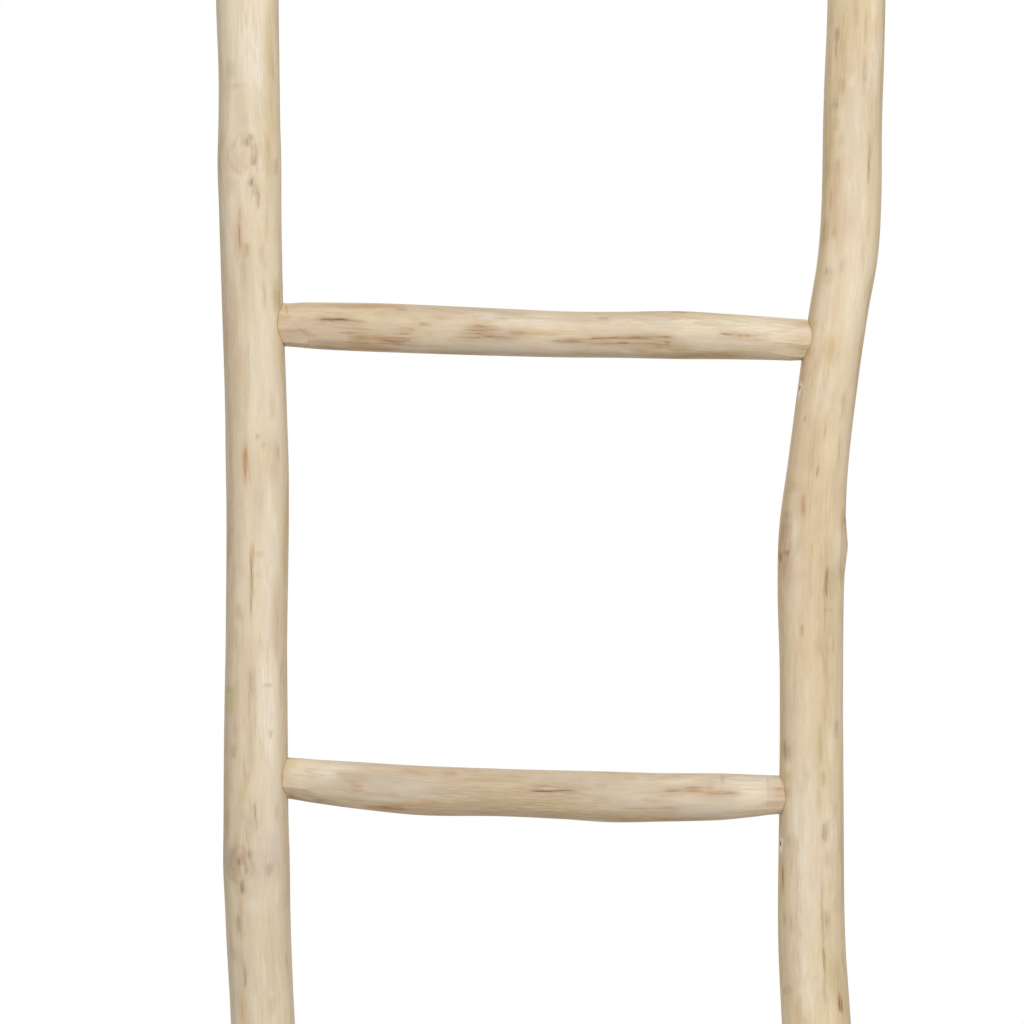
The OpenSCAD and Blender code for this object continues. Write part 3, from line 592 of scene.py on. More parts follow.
def peeled_wood(name, cream, pale, tan, rose, streaks, pits, uneven):
    """Bare peeled branch wood. Broad tan, cream and pale bands run along it with edges half crisp and half
    soft, over them a slow drift to rose and to straw, then narrow bands and fibres, each a noise stretched
    along the grain. Rusty streaks and a few brown pores break through where a broad and a narrow noise are
    both high. The knots' rings and scars come next. Then come the kept marks, ragged along the grain, among
    them painted highlights and painted shade. Last comes the glue along the seams, with a thin dark line
    that is partly painted shadow in the gap."""
    bench = Bench(name)
    grain = bench.kept("grain", "Vector")
    sway = bench.noise(grain, (35, 35, 5), output="Color")
    sway = bench.stretched(sway, (0.005, 0.005, 0.02), (-0.0025, -0.0025, -0.01))
    grain = bench.lay("ShaderNodeVectorMath", 0, {0: grain, 1: sway}, operation="ADD")
    broad = bench.noise(grain, (60, 60, 11), (0, 0, 0), 4, 0.6)
    other = bench.noise(grain, (50, 50, 14), (7, 3, 1), 3, 0.6)
    mottle = bench.noise(grain, (150, 150, 34), (3, 5, 7), 3, 0.6)
    narrow = bench.noise(grain, (280, 280, 20), (2, 9, 4), 4, 0.65)
    fibre = bench.noise(grain, (1500, 1500, 34), (0, 0, 0), 2, 0.6)
    pores = bench.noise(grain, (1700, 1700, 90), (1, 1, 5), 1)
    spread = bench.noise(grain, (90, 90, 16), (4, 4, 4))
    thin = bench.noise(grain, (420, 420, 22), (5, 1, 8), 3, 0.65)
    strand = bench.noise(grain, (1000, 1000, 70), (8, 2, 3), 2, 0.6)
    pith_brown = tone(150, 118, 84)
    colour = bench.mixed(bench.eased(broad, 0.34, 0.50, 0, 0.6), tan, cream)
    colour = bench.mixed(bench.eased(broad, 0.40, 0.46), colour, cream)
    colour = bench.mixed(bench.eased(broad, 0.54, 0.68, 0, 0.6), colour, pale)
    colour = bench.mixed(bench.eased(broad, 0.57, 0.61, 0, 0.4), colour, pale)
    colour = bench.mixed(bench.eased(other, 0.52, 0.68, 0, 0.75), colour, rose)
    colour = bench.mixed(bench.eased(other, 0.46, 0.32, 0, 0.45), colour, tone(214, 197, 157))
    colour = bench.shaded(colour, bench.eased(mottle, 0.32, 0.68, 1 - uneven, 1 + 0.7 * uneven))
    colour = bench.shaded(colour, bench.eased(narrow, 0.30, 0.70, 0.965, 1.02))
    colour = bench.shaded(colour, bench.eased(fibre, 0.30, 0.70, 0.97, 1.02))
    rusty = bench.times(bench.eased(thin, 0.56, 0.68), bench.eased(spread, 0.50, 0.66, 0, streaks))
    pitted = bench.times(bench.eased(pores, 0.62, 0.72), bench.eased(spread, 0.45, 0.68, 0, pits))
    colour = bench.mixed(rusty, colour, tone(190, 146, 104))
    colour = bench.mixed(pitted, colour, pith_brown)

    # The knots: bent rings, a brown crease at the scar's edge and a dark heart
    heart, strong = bench.kept("heart"), bench.kept("strong")
    bent = bench.math("MULTIPLY_ADD", spread, 9.0, bench.times(heart, 13.0))
    rings = bench.eased(bench.math("SINE", bench.math("MULTIPLY_ADD", thin, 3.0, bent)), -0.2, 1.0)
    heart = bench.math("ADD", heart, bench.eased(thin, 0.3, 0.7, -0.15, 0.15))
    inside = bench.times(bench.eased(heart, 1.3, 0.75), strong)
    ringed = bench.times(rings, inside)
    from_edge = bench.math("ABSOLUTE", bench.math("SUBTRACT", heart, 1.0))
    crease = bench.times(bench.eased(from_edge, 0.25, 0.02), strong)
    crease = bench.times(crease, bench.eased(thin, 0.4, 0.6, 0.2, 0.7))
    colour = bench.mixed(bench.times(inside, 0.45), colour, tone(206, 180, 146))
    colour = bench.mixed(bench.times(ringed, 0.3), colour, tone(172, 140, 104))
    colour = bench.mixed(crease, colour, pith_brown)
    middle = bench.times(bench.eased(heart, 0.34, 0.12), bench.eased(strong, 0.5, 0.9, 0, 0.75))
    colour = bench.mixed(middle, colour, tone(124, 94, 66))

    # The kept marks, and the glue along the seams with a thin dark brown line where wood meets wood: partly
    # the joint's own colour, partly painted shadow in the gap
    ragged = bench.eased(strand, 0.32, 0.66, 0.45, 1.3)
    ragged = bench.times(ragged, bench.eased(thin, 0.35, 0.65, 0.75, 1.15))
    cover = bench.math("MINIMUM", bench.times(bench.kept("marks", "Alpha"), ragged), 0.96)
    colour = bench.mixed(cover, colour, bench.kept("marks", "Color"))
    seam = bench.math("ABSOLUTE", bench.kept("seam"))
    glue = bench.times(bench.eased(seam, 0.0028, 0.0004), bench.eased(other, 0.40, 0.6, 0.1, 0.45))
    colour = bench.mixed(glue, colour, tone(206, 182, 136))
    # The thin dark brown line at the seam: partly the joint's own colour, partly painted shadow in the gap
    # between post and rung.
    colour = bench.mixed(bench.eased(seam, 0.0009, 0.0001, 0, 0.6), colour, tints["brown"])
    height = bench.math("MULTIPLY_ADD", narrow, 1.6, bench.times(fibre, 0.5))
    height = bench.math("MULTIPLY_ADD", pitted, -1.0, height)
    height = bench.math("MULTIPLY_ADD", ringed, -0.5, height)
    return bench.shade(
        Base_Color=colour, Roughness=bench.eased(narrow, 0.3, 0.7, 0.70, 0.60),
        Normal=bench.raised(height, 0.0002), IOR=1.45, Specular_IOR_Level=0.18)


def sawn_end():
    """Sawn end grain: year rings round the pith from the distance in the cross section bent by a noise, a
    dark heart, specks, and fine saw marks straight across."""
    bench = Bench("sawn_end_grain")
    flat = bench.stretched(bench.kept("grain", "Vector"), (1, 1, 0))
    away = bench.lay("ShaderNodeVectorMath", "Value", {0: flat}, operation="LENGTH")
    bent = bench.noise(flat, (70, 70, 1))
    spacing = bench.noise(bench.lay("ShaderNodeCombineXYZ", 0, {0: away}), (420, 1, 1), detail=1)
    waves = bench.math("MULTIPLY_ADD", bent, 13.0, bench.times(spacing, 9.0))
    ring = bench.math("SINE", bench.math("MULTIPLY_ADD", away, 3100.0, waves))
    speck = bench.noise(flat, (1600, 1600, 1), rough=0.6)
    saw = bench.noise(flat, (60, 900, 1), (3, 3, 3))
    colour = bench.mixed(bench.eased(ring, -0.2, 1.0, 0, 0.55), tone(212, 187, 148), tone(182, 150, 110))
    colour = bench.mixed(bench.eased(bent, 0.42, 0.62, 0, 0.35), colour, tone(190, 160, 120))
    colour = bench.mixed(bench.eased(away, 0.004, 0.0008, 0, 0.8), colour, tone(128, 94, 62))
    colour = bench.shaded(colour, bench.eased(speck, 0.3, 0.7, 0.88, 1.05))
    colour = bench.shaded(colour, bench.eased(saw, 0.3, 0.7, 0.93, 1.03))
    colour = bench.mixed(bench.kept("marks", "Alpha"), colour, bench.kept("marks", "Color"))
    height = bench.math("MULTIPLY_ADD", saw, 1.0, bench.times(ring, 0.25))
    return bench.shade(
        Base_Color=colour, Roughness=0.8, Normal=bench.raised(height, 0.0003), IOR=1.45,
        Specular_IOR_Level=0.18)


# The mortises in the posts, where yellow glue has dried along the seams. The rungs lie a little out of
# level: each row is the lift of a rung and its fall from left to right, as shares of rung_fall.
rung_count = 5
rung_pitch = 0.342
foot_len = 0.116
rung_fall = 0.014
rung_lies = [(0, 0.43), (0.11, 1.04), (0, 0.96), (-0.14, -0.5), (0.07, 0.64)]
shoulder_r = 0.0143


def mortise_mid(i, post):
    """Where the line of rung i meets the pith of a post: its level, lifted or lowered as the rung lies."""
    lift, fall = rung_lies[i - 1]
    height = foot_len + (i - 1) * rung_pitch + rung_fall * (lift - post["side"] * fall)
    return np.array([*pith(post, height), height])


def rung_dir(i):
    """The way along rung i, from the left mortise to the right one, one metre long."""
    run = mortise_mid(i, right_post) - mortise_mid(i, left_post)
    return run / np.linalg.norm(run)


# The nail holes in the posts: each was wiped with filler, which shrank and left a small nick, painted dark
# as the shadow in the hole, darkest at a rise above its lower end
nail_drop = 0.035
nail_bearing = {"left_post": 38, "right_post": 197}
nick_half = 0.0016
nick_rise = 0.0017


def nail_nicks(name, post):
    """One check at each nail hole of a post, as short as it is wide, for open_lines. Its painted dark is the
    shadow in the hole.
    """
    toward, half = nail_bearing[name], 1000 * nick_half
    heights = [1000 * (mortise_mid(i, post)[2] - nail_drop) for i in range(1, rung_count + 1)]
    return [("dark", h - half, toward, h + half, toward, half, 2.0, 1.0) for h in heights]


left_finish = peeled_wood(
    "peeled_post_wood_left", tone(223, 206, 177), tone(232, 217, 190), tone(211, 189, 153),
    tone(217, 195, 168), 0.22, 0.2, 0.035)
right_finish = peeled_wood(
    "peeled_post_wood_right", tone(223, 202, 167), tone(231, 214, 183), tone(209, 184, 145),
    tone(217, 190, 159), 0.25, 0.25, 0.035)
end_finish = sawn_end()


def make_post(name, post, finish):
    """A post's skin: rings of points from the pith at the foot, out across the sawn end, round its worn
    edge, up the side, and in again across the top. The way along runs on over the edge and across the
    sawn end, so that a check can run from the side into the end."""
    nicks = nail_nicks(name, post)
    nick_heights = [low / 1000 + nick_rise for _, low, *_ in nicks]

    # The rows' heights lie nearer to one another along the part with most marks, and most at the nail holes:
    # crowd says how near, at each of many fine steps, and post_rows are shared out by its running sum
    fine = np.linspace(0, 1, 16001)
    marked = np.clip(np.minimum(fine - 0.16, 0.67 - fine) / 0.01, 0, 1)
    crowd = 1 / 0.0028 + 270 * marked
    crowd = crowd + sum(900 * np.exp(-((fine * ladder_h - h) / 0.006) ** 4) for h in nick_heights)
    count = np.cumsum(crowd)
    row_share = np.interp(np.linspace(count[0], count[-1], post_rows), count, fine)
    side_rows = row_share * (ladder_h - 2 * worn_edge) + worn_edge
    arc = np.radians(np.array([22.5, 45, 67.5, 90]))
    edge_up, edge_in = worn_edge * np.sin(arc), worn_edge * (1 - np.cos(arc))
    inward = np.linspace(1, 0.07, sawn_rings + 1)[1:]
    low_edge, high_edge = worn_edge - edge_up[::-1], ladder_h - worn_edge + edge_up
    height = np.concatenate([0 * inward, low_edge, side_rows, high_edge, ladder_h + 0 * inward])
    end_inset = 0 * inward + worn_edge
    inset = np.concatenate([end_inset, edge_in[::-1], 0 * side_rows, edge_in, end_inset])
    share = np.concatenate([inward[::-1], 0 * arc + 1, 0 * side_rows + 1, 0 * arc + 1, inward])
    low_end, high_end = -(1 - inward[::-1]) * post_mean_r, ladder_h + (1 - inward) * post_mean_r
    along = np.concatenate([low_end, low_edge, side_rows, high_edge, high_end])

    # The marks, and the skin that they and the drawknife leave
    bearing = np.tile(np.arange(post_sides) * 360 / post_sides, (len(height), 1))
    checks = placed(post["lines"], post["turn"], front_growth) + post["end_checks"]
    stray_lines, stray_stains = stray_marks(
        post_strays, ladder_h * 1000, seen_heights, seen_bearings, 0.8, post["seed"])
    lines = checks + nicks + stray_lines
    depth, painted = open_lines(bearing, along, post_mean_r, lines)
    patches = stray_stains + placed(post["patches"], post["turn"], front_growth)
    patches += halos(stray_lines + checks, 0.6, 0.2)
    # A dark patch round each nail hole: painted shadow in the hole.
    patches += [("dark", 1000 * h, nail_bearing[name], 1.7, 2.2, 0.75) for h in nick_heights]
    height, inset, share, along = height[:, None], inset[:, None], share[:, None], along[:, None]
    grain_bearing, heart, strong = part_round_knots(bearing, along, post_mean_r, post["hearts"])
    coat, dried = patched(bearing, along, post_mean_r, patches, painted)
    cuts = drawknife_flats(bearing, along, post_mean_r, post_flat, post["seed"])
    sunk = cuts + knot_relief(heart, strong) + dried + post_sanded

    on_side = share == 1
    radius = post_r(post, height, bearing) - inset
    middle_x, middle_y = pith(post, height)
    outward = share * (radius - on_side * (sunk + depth))
    x = middle_x + outward * np.cos(np.radians(bearing))
    y = middle_y + outward * np.sin(np.radians(bearing))
    into_end = np.where(height > ladder_h / 2, -1, 1) * ~on_side
    z = height + into_end * depth * np.minimum(1, share * 2)

    # How far each point is from the nearest rung's whittled end, less than nothing inside it
    seam = np.full(x.shape, 1.0)
    for i in range(1, rung_count + 1):
        mid, way = mortise_mid(i, post), rung_dir(i)
        off = np.stack([x - mid[0], y - mid[1], z - mid[2]], axis=-1)
        along_rung = off @ way
        away = off - along_rung[..., None] * way
        beside = np.hypot(1.07 * away[..., 1], away[..., 2]) - shoulder_r
        nearer = (along_rung * -post["side"] > 0) & (np.abs(beside) < np.abs(seam))
        seam = np.where(nearer, beside, seam)

    rings = np.stack([x, y, z], axis=-1)
    low_pole = (*pith(post, 0.0), 0.0)
    high_pole = (*pith(post, ladder_h), ladder_h)
    piece = skin(name + "_branch", rings, low_pole, high_pole, len(inward) + 1)
    set_grain(piece, grain_bearing, share * post_mean_r, along, 0.0, ladder_h)
    dress(piece, heart, strong, seam, coat, finish)
    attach(piece, "root")
    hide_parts(name)


make_post("left_post", left_post, left_finish)
make_post("right_post", right_post, right_finish)

# The rungs. Thinner branches of the same wood, peeled and sanded, a little rustier than the posts. Each end
# is whittled down with a knife to a tenon, in flats that run out along the rung, and glued into its post.
rung_d = 0.035
rung_bow = 0.006
tenon_r = 0.014
tenon_len = 0.028
shoulder_gap = 0.001
rung_sides = 200
rung_rows = 470
rung_flat = 0.0003
rung_strays = 88
rung_front = (96, 264)
rung_swell = 0.00025
tip_bevel = 0.001
tip_share = 0.93
lean_reach = 0.016
stray_clear = 0.014
shoulder_dent = 0.00012

# On a rung the bearings are seen from its left end: 0 is the back, 90 up, 180 the front and 270 down, and
# marks are placed by the way along from the left mortise.
# Rows of bends: share of the length, shares of rung_bow to the back and up, share of rung_d. Rows of flats
# at each end, in millimetres: bearing, how far it runs out along the rung, distance from the middle at its
# start. Shoulders at each end: rows of bearing and way along in millimetres. Edges: how strongly the line
# of each shoulder is drawn.
rungs = [
    {
        "bends": [
            (0.00, 0, 0, 0.85), (0.08, 0.08, 0.17, 0.97), (0.25, 0.33, 0.5, 1.06), (0.50, 0.5, 0.75, 1.04),
            (0.75, 0.33, 0.58, 1.07), (0.92, 0.08, 0.17, 0.98), (1.00, 0, 0, 0.86),
        ],
        "flats": [
            [(20, 30, 14.2), (72, 22, 14.6), (115, 34, 14.4), (165, 26, 14.2), (214, 36, 14.3),
             (262, 24, 14.7), (318, 30, 14.2)],
            [(10, 26, 14.2), (58, 34, 14.4), (104, 22, 14.7), (156, 34, 14.2), (202, 24, 14.3),
             (250, 36, 14.4), (300, 28, 14.3)],
        ],
        "shoulders": [
            [(20, 38), (110, 46), (200, 34), (290, 44)],
            [(40, 352), (130, 362), (240, 346), (310, 358)],
        ],
        "edges": (0.3, 0.35),
        "hearts": [(265, 150, 8, 5, 0.8)],
        "turn": 0, "lines": [], "patches": [], "seed": 11,
    },
    {
        "bends": [
            (0.00, 0, 0, 0.88), (0.06, 0, -0.33, 0.92), (0.14, -0.08, -0.63, 0.98),
            (0.27, -0.17, -0.98, 1.03), (0.43, -0.25, -0.88, 0.99), (0.56, -0.17, -0.9, 1.02),
            (0.66, -0.08, -0.97, 1.07), (0.76, 0, -0.82, 1.03), (0.88, 0.08, -0.5, 1.00),
            (0.94, 0.05, -0.27, 0.92), (1.00, 0, 0, 0.83),
        ],
        "flats": [
            [(8, 26, 14.2), (60, 30, 14.4), (96, 16, 15.1), (136, 20, 14.5), (176, 26, 13.3),
             (222, 30, 14.2), (272, 24, 15.0), (322, 22, 14.2)],
            [(14, 26, 14.2), (66, 20, 14.3), (100, 12, 14.5), (134, 12, 14.3), (170, 15, 13.3),
             (208, 13, 14.0), (262, 20, 14.4), (312, 28, 14.2)],
        ],
        "shoulders": [
            [(10, 44), (100, 34), (180, 42), (270, 38)],
            [(0, 374), (90, 381), (126, 383), (216, 383.5), (280, 378)],
        ],
        "edges": (0.15, 0.5),
        "hearts": [(75, 170, 12, 7, 0.15)],
        "turn": -3.7,
        "lines": [
            ("olive", 145, 202, 205, 202, 0.78, 0.1, 0.6), ("dark", 201, 176, 240, 168, 0.59, 1., 0.76),
            ("brown", 205, 160, 228, 160, 0.65, 0.1, 0.52),
            ("brown", 276, 206, 318, 206, 0.59, 0.1, 0.48),
            ("brown", 305, 165, 318, 165, 1.04, 0.2, 0.68),
            ("brown", 320, 157, 335, 157, 0.91, 0.1, 0.56), ("rust", 320, 165, 337, 165, 0.91, 0.1, 0.68),
            ("rust", 338, 172, 348, 172, 1.04, 0.2, 0.68), ("brown", 348, 172, 360, 172, 0.91, 0.2, 0.6),
            ("red", 384, 160, 395, 160, 0.78, 0.1, 0.64),
        ],
        "patches": [
            # The ash patches on the upper front at bearings 128 and 135, which face the front lamp, are
            # painted highlights. The lower ones only pale the wood.
            ("brown", 66, 181, 14, 4, 0.4), ("ash", 66, 135, 12, 4, 0.5), ("dark", 44, 240, 18, 4, 0.5),
            ("ash", 372, 128, 22, 7, 0.55), ("grey", 200, 182, 130, 7, 0.45),
            ("brown", 260, 226, 70, 5, 0.4), ("grey", 108, 170, 36, 6, 0.4),
            ("ash", 100, 210, 20, 3, 0.4), ("straw", 31, 152, 6, 12, 0.85),
            ("brown", 190, 205, 40, 9, 0.3), ("brown", 118, 226, 26, 3, 0.45),
            ("brown", 328, 168, 30, 2.2, 0.45), ("tan", 322, 162, 36, 4, 0.35),
            ("brown", 222, 161, 20, 1.6, 0.4), ("brown", 27, 236, 3, 5, 0.6),
            ("tan", 300, 214, 60, 5, 0.25), ("grey", 120, 188, 85, 12, 0.34),
            ("grey", 249, 178, 22, 5, 0.25), ("blue", 48, 170, 20, 10, 0.3),
            ("blue", 231, 146, 22, 8, 0.4), ("blue", 267, 142, 22, 8, 0.25),
            ("blue", 267, 196, 22, 7, 0.3), ("ash", 303, 182, 22, 14, 0.2),
            ("ash", 339, 168, 20, 22, 0.22), ("blue", 375, 150, 18, 20, 0.2),
            ("pale", 45, 150, 16, 7.5, 0.5), ("red", 76, 182, 4.5, 1.5, 0.6),
            ("brown", 77, 190, 4, 1, 0.6), ("blue", 107, 175, 24, 7.5, 0.5),
            ("grey", 104, 195, 4, 2, 0.45), ("grey", 117, 198, 4, 2, 0.4), ("grey", 134, 185, 7, 2, 0.4),
            ("olive", 71, 227, 10, 2.6, 0.65), ("orange", 92, 234, 9, 2.8, 0.85),
            ("rust", 103, 229, 9, 2.4, 0.8), ("orange", 119, 218, 10, 2.4, 0.85),
            ("orange", 134, 210, 9, 2, 0.65), ("brown", 103, 231, 7, 2, 0.45),
            ("tan", 117, 132, 8, 3, 0.6), ("red", 145, 132, 6, 4, 0.5), ("olive", 162, 120, 7, 2, 0.6),
            ("olive", 184, 148, 17, 2.5, 0.5), ("tan", 197, 189, 54, 9, 0.5),
            ("olive", 240, 163, 11, 1.3, 0.55), ("yellow", 236, 212, 14, 3, 0.45),
            ("tan", 236, 212, 14, 3, 0.65), ("orange", 310, 245, 35, 2.4, 0.65),
            ("olive", 280, 128, 5, 2, 0.5), ("olive", 349, 128, 1.5, 5, 0.6),
            ("grey", 258, 155, 4, 2, 0.45), ("red", 258, 190, 6, 2, 0.5),
            ("olive", 339.5, 163, 2.6, 4, 0.7), ("blue", 339, 210, 22, 6, 0.75),
            ("pale", 372, 175, 12, 12, 0.6), ("pink", 388, 205, 4, 4, 0.5),
            ("yellow", 389, 115, 3.5, 3, 0.75), ("orange", 395, 130, 1.4, 6, 0.6),
            ("grey", 25, 200, 6, 6, 0.3), ("yellow", 26, 125, 4, 5, 0.6),
        ],
        "seed": 12,
    },
    {
        "bends": [
            (0.00, 0, 0, 0.94), (0.04, 0, 0, 0.965), (0.12, 0.08, 0, 1.01), (0.20, 0.17, 0, 1.03),
            (0.42, 0.25, -0.12, 1.01), (0.55, 0.17, -0.15, 0.985), (0.65, 0.08, 0, 0.99),
            (0.76, 0, 0.18, 1.03), (0.86, -0.05, 0.17, 0.98), (0.94, -0.03, 0.1, 0.93), (1.00, 0, 0, 0.90),
        ],
        "flats": [
            [(14, 30, 14.2), (64, 22, 15.2), (94, 14, 16.1), (130, 12, 14.6), (172, 20, 13.3),
             (212, 24, 14.0), (258, 30, 15.0), (318, 22, 14.2)],
            [(10, 24, 14.2), (62, 36, 14.8), (98, 24, 15.7), (134, 18, 14.6), (172, 20, 13.8),
             (212, 28, 14.1), (262, 16, 14.2), (312, 28, 14.2)],
        ],
        "shoulders": [
            [(20, 27), (90, 24), (142, 26), (167, 28), (187, 33), (202, 40), (214, 44), (237, 43),
             (300, 36)],
            [(20, 368), (110, 374), (200, 366), (290, 372)],
        ],
        "edges": (0.85, 0.15),
        "hearts": [(128, 170, 7, 4.5, 0.12)],
        "turn": 2.4,
        "lines": [
            ("dark", 52, 163, 73, 163, 1.3, 0.6, 0.72), ("brown", 75, 168, 86, 169, 0.65, 0.1, 0.44),
            ("brown", 60, 184, 95, 186, 0.45, 0.1, 0.32), ("brown", 66, 194, 92, 197, 0.45, 0.1, 0.32),
            ("brown", 105, 197, 122, 190, 0.78, 0.2, 0.56), ("rust", 110, 181, 123, 181, 0.78, 0.2, 0.6),
            ("tan", 134, 147, 148, 147, 1.3, 0.1, 0.72), ("tan", 148, 147, 170, 148, 0.65, 0.1, 0.48),
            ("brown", 160, 178, 182, 178, 0.65, 0.1, 0.44), ("rust", 165, 168, 180, 168, 0.91, 0.2, 0.6),
            ("rust", 160, 186, 182, 186, 0.52, 0.1, 0.48), ("brown", 160, 194, 196, 194, 1.3, 0.3, 0.72),
            ("rust", 194, 181, 207, 181, 0.78, 0.2, 0.44),
            ("orange", 207, 181, 219, 181, 1.17, 0.1, 0.68),
            ("olive", 218, 184, 230, 184, 1.04, 0.1, 0.48),
            ("brown", 230, 197, 254, 197, 1.17, 0.2, 0.64), ("rust", 254, 189, 302, 189, 1.17, 0.3, 0.72),
            ("brown", 305, 185, 315, 185, 0.78, 0.2, 0.52),
            ("olive", 291, 179, 302, 179, 0.91, 0.1, 0.52),
            ("brown", 262, 202, 312, 202, 0.91, 0.2, 0.56),
            ("brown", 350, 174, 362, 174, 1.17, 0.3, 0.76),
            ("orange", 362, 176, 381, 176, 1.43, 0.1, 0.72),
        ],
        "patches": [
            # The ash bands at bearings 140 and 143, on the upper front that faces the front lamp, are
            # painted highlights. The other ash patches only pale the wood.
            ("ash", 300, 143, 120, 4.5, 0.45), ("ash", 178, 140, 24, 4, 0.4),
            ("pale", 380, 150, 22, 12, 0.55), ("straw", 397, 165, 8, 12, 0.35),
            ("brown", 63, 164, 11, 1.3, 0.7), ("brown", 178, 185, 20, 1.3, 0.5),
            ("orange", 205, 181, 26, 1.4, 0.55), ("brown", 176, 194, 20, 2, 0.55),
            ("brown", 172, 170, 12, 1.2, 0.45), ("brown", 98, 208, 18, 2.6, 0.5),
            ("red", 70, 191, 12, 5, 0.35), ("tan", 275, 191, 40, 5, 0.15),
            ("brown", 285, 194, 26, 3.5, 0.12), ("orange", 384, 193, 10, 4, 0.35),
            ("brown", 350, 231, 26, 4.5, 0.5), ("olive", 258, 133, 24, 1.5, 0.4),
            ("straw", 350, 138, 52, 9, 0.35), ("pale", 345, 170, 40, 6, 0.3),
            ("brown", 65, 240, 16, 4, 0.55), ("brown", 65, 169, 16, 2, 0.35),
            ("brown", 115, 213, 10, 3, 0.4), ("brown", 185, 174, 24, 2.2, 0.4),
            ("orange", 235, 174, 22, 2.2, 0.45), ("brown", 282, 182, 16, 3, 0.18),
            ("olive", 172, 226, 16, 4, 0.4), ("pink", 382, 225, 14, 5, 0.4),
            ("tan", 240, 205, 110, 8, 0.14), ("pale", 166, 186, 22, 8, 0.2),
            ("ash", 204, 165, 22, 22, 0.2), ("ash", 241, 206, 20, 8, 0.32),
            ("ash", 279, 198, 20, 13, 0.32), ("ash", 388, 160, 20, 22, 0.2), ("red", 75, 196, 4, 2, 0.4),
            ("brown", 80, 205, 7, 2, 0.7), ("orange", 92, 208, 8, 3, 0.8),
            ("rust", 105, 212, 8, 2.2, 0.65), ("brown", 80, 220, 7, 1.8, 0.5),
            ("orange", 86, 233, 13, 3.5, 0.7), ("red", 97, 240, 12, 2.5, 0.75),
            ("dark", 116, 210, 3, 1, 0.6), ("red", 110, 222, 4, 1.8, 0.65),
            ("olive", 122, 156, 5, 2, 0.5), ("brown", 129, 168, 3.5, 1, 0.55),
            ("brown", 112, 128, 4, 1.2, 0.45), ("orange", 97, 114, 14, 3, 0.75),
            ("olive", 194, 127, 12, 3.5, 0.6), ("blue", 165, 222, 42, 6, 0.55),
            ("orange", 242, 191, 12, 1.6, 0.5), ("dark", 258, 189, 4, 1.2, 0.5),
            ("brown", 268, 189, 12, 1.3, 0.55), ("brown", 298, 186, 12, 1.2, 0.55),
            ("brown", 238, 197, 14, 1.3, 0.5), ("brown", 262, 203, 12, 1.2, 0.45),
            ("dark", 286.5, 189, 4.5, 1.2, 0.6), ("dark", 277.5, 202, 3.5, 1.1, 0.6),
            ("dark", 311, 200, 2, 1.4, 0.65), ("brown", 263, 135, 4, 1.5, 0.4),
            ("pink", 240, 140, 15, 3, 0.4), ("blue", 304, 150, 10, 3.5, 0.6),
            ("red", 319, 108, 6, 2.6, 0.8), ("dark", 365, 176, 1.6, 1, 0.7),
            ("dark", 370, 176, 1.6, 1, 0.6), ("blue", 343, 196, 20, 5.5, 0.55),
            ("orange", 350, 233, 13, 5.5, 0.5), ("tan", 322, 216, 10, 4, 0.7),
            ("olive", 247, 228, 8, 3, 0.55), ("orange", 290, 222, 6, 2.6, 0.6),
            ("rust", 308, 207, 7, 1.4, 0.55), ("pink", 60, 190, 24, 7, 0.35),
            ("yellow", 40, 122, 14, 4, 0.4), ("yellow", 23.5, 128, 3, 5, 0.7),
        ],
        "seed": 13,
    },
    {
        "bends": [
            (0.00, 0, 0, 0.84), (0.07, -0.08, 0.08, 0.93), (0.22, -0.33, 0.25, 1.02),
            (0.40, -0.5, 0.08, 0.98), (0.60, -0.33, -0.25, 1.01), (0.80, -0.17, -0.33, 1.00),
            (0.93, -0.05, -0.13, 0.92), (1.00, 0, 0, 0.85),
        ],
        "flats": [
            [(24, 24, 14.2), (70, 34, 14.4), (122, 26, 14.3), (172, 34, 14.1), (220, 22, 14.3),
             (268, 34, 14.5), (316, 26, 14.2)],
            [(16, 34, 14.2), (68, 24, 14.5), (110, 34, 14.4), (152, 22, 14.2), (206, 32, 14.2),
             (252, 24, 14.6), (304, 34, 14.3)],
        ],
        "shoulders": [
            [(30, 40), (120, 34), (190, 46), (280, 38)],
            [(20, 384), (120, 392), (210, 380), (300, 388)],
        ],
        "edges": (0.4, 0.3),
        "hearts": [(150, 195, 9, 5.5, 0.8)],
        "turn": 0, "lines": [], "patches": [], "seed": 14,
    },
    {
        "bends": [
            (0.00, 0, 0, 0.86), (0.07, 0.08, -0.17, 0.94), (0.25, 0.25, -0.5, 0.99),
            (0.45, 0.33, -0.67, 1.02), (0.62, 0.25, -0.58, 0.97), (0.80, 0.08, -0.33, 0.98),
            (0.93, 0, -0.1, 0.91), (1.00, 0, 0, 0.84),
        ],
        "flats": [
            [(12, 34, 14.2), (64, 26, 14.5), (108, 30, 14.6), (160, 22, 14.2), (208, 34, 14.2),
             (260, 26, 14.6), (312, 30, 14.2)],
            [(22, 24, 14.2), (76, 30, 14.4), (124, 24, 14.4), (168, 36, 14.1), (218, 26, 14.3),
             (266, 34, 14.4), (314, 24, 14.2)],
        ],
        "shoulders": [
            [(0, 44), (100, 36), (170, 42), (260, 48)],
            [(40, 398), (140, 390), (230, 400), (310, 392)],
        ],
        "edges": (0.35, 0.4),
        "hearts": [(320, 170, 8, 5, 0.8)],
        "turn": 0, "lines": [], "patches": [], "seed": 15,
    },
]
rung_finish = peeled_wood(
    "peeled_rung_wood", tone(213, 193, 164), tone(226, 210, 184), tone(200, 174, 139), tone(208, 185, 161),
    0.55, 0.35, 0.07)


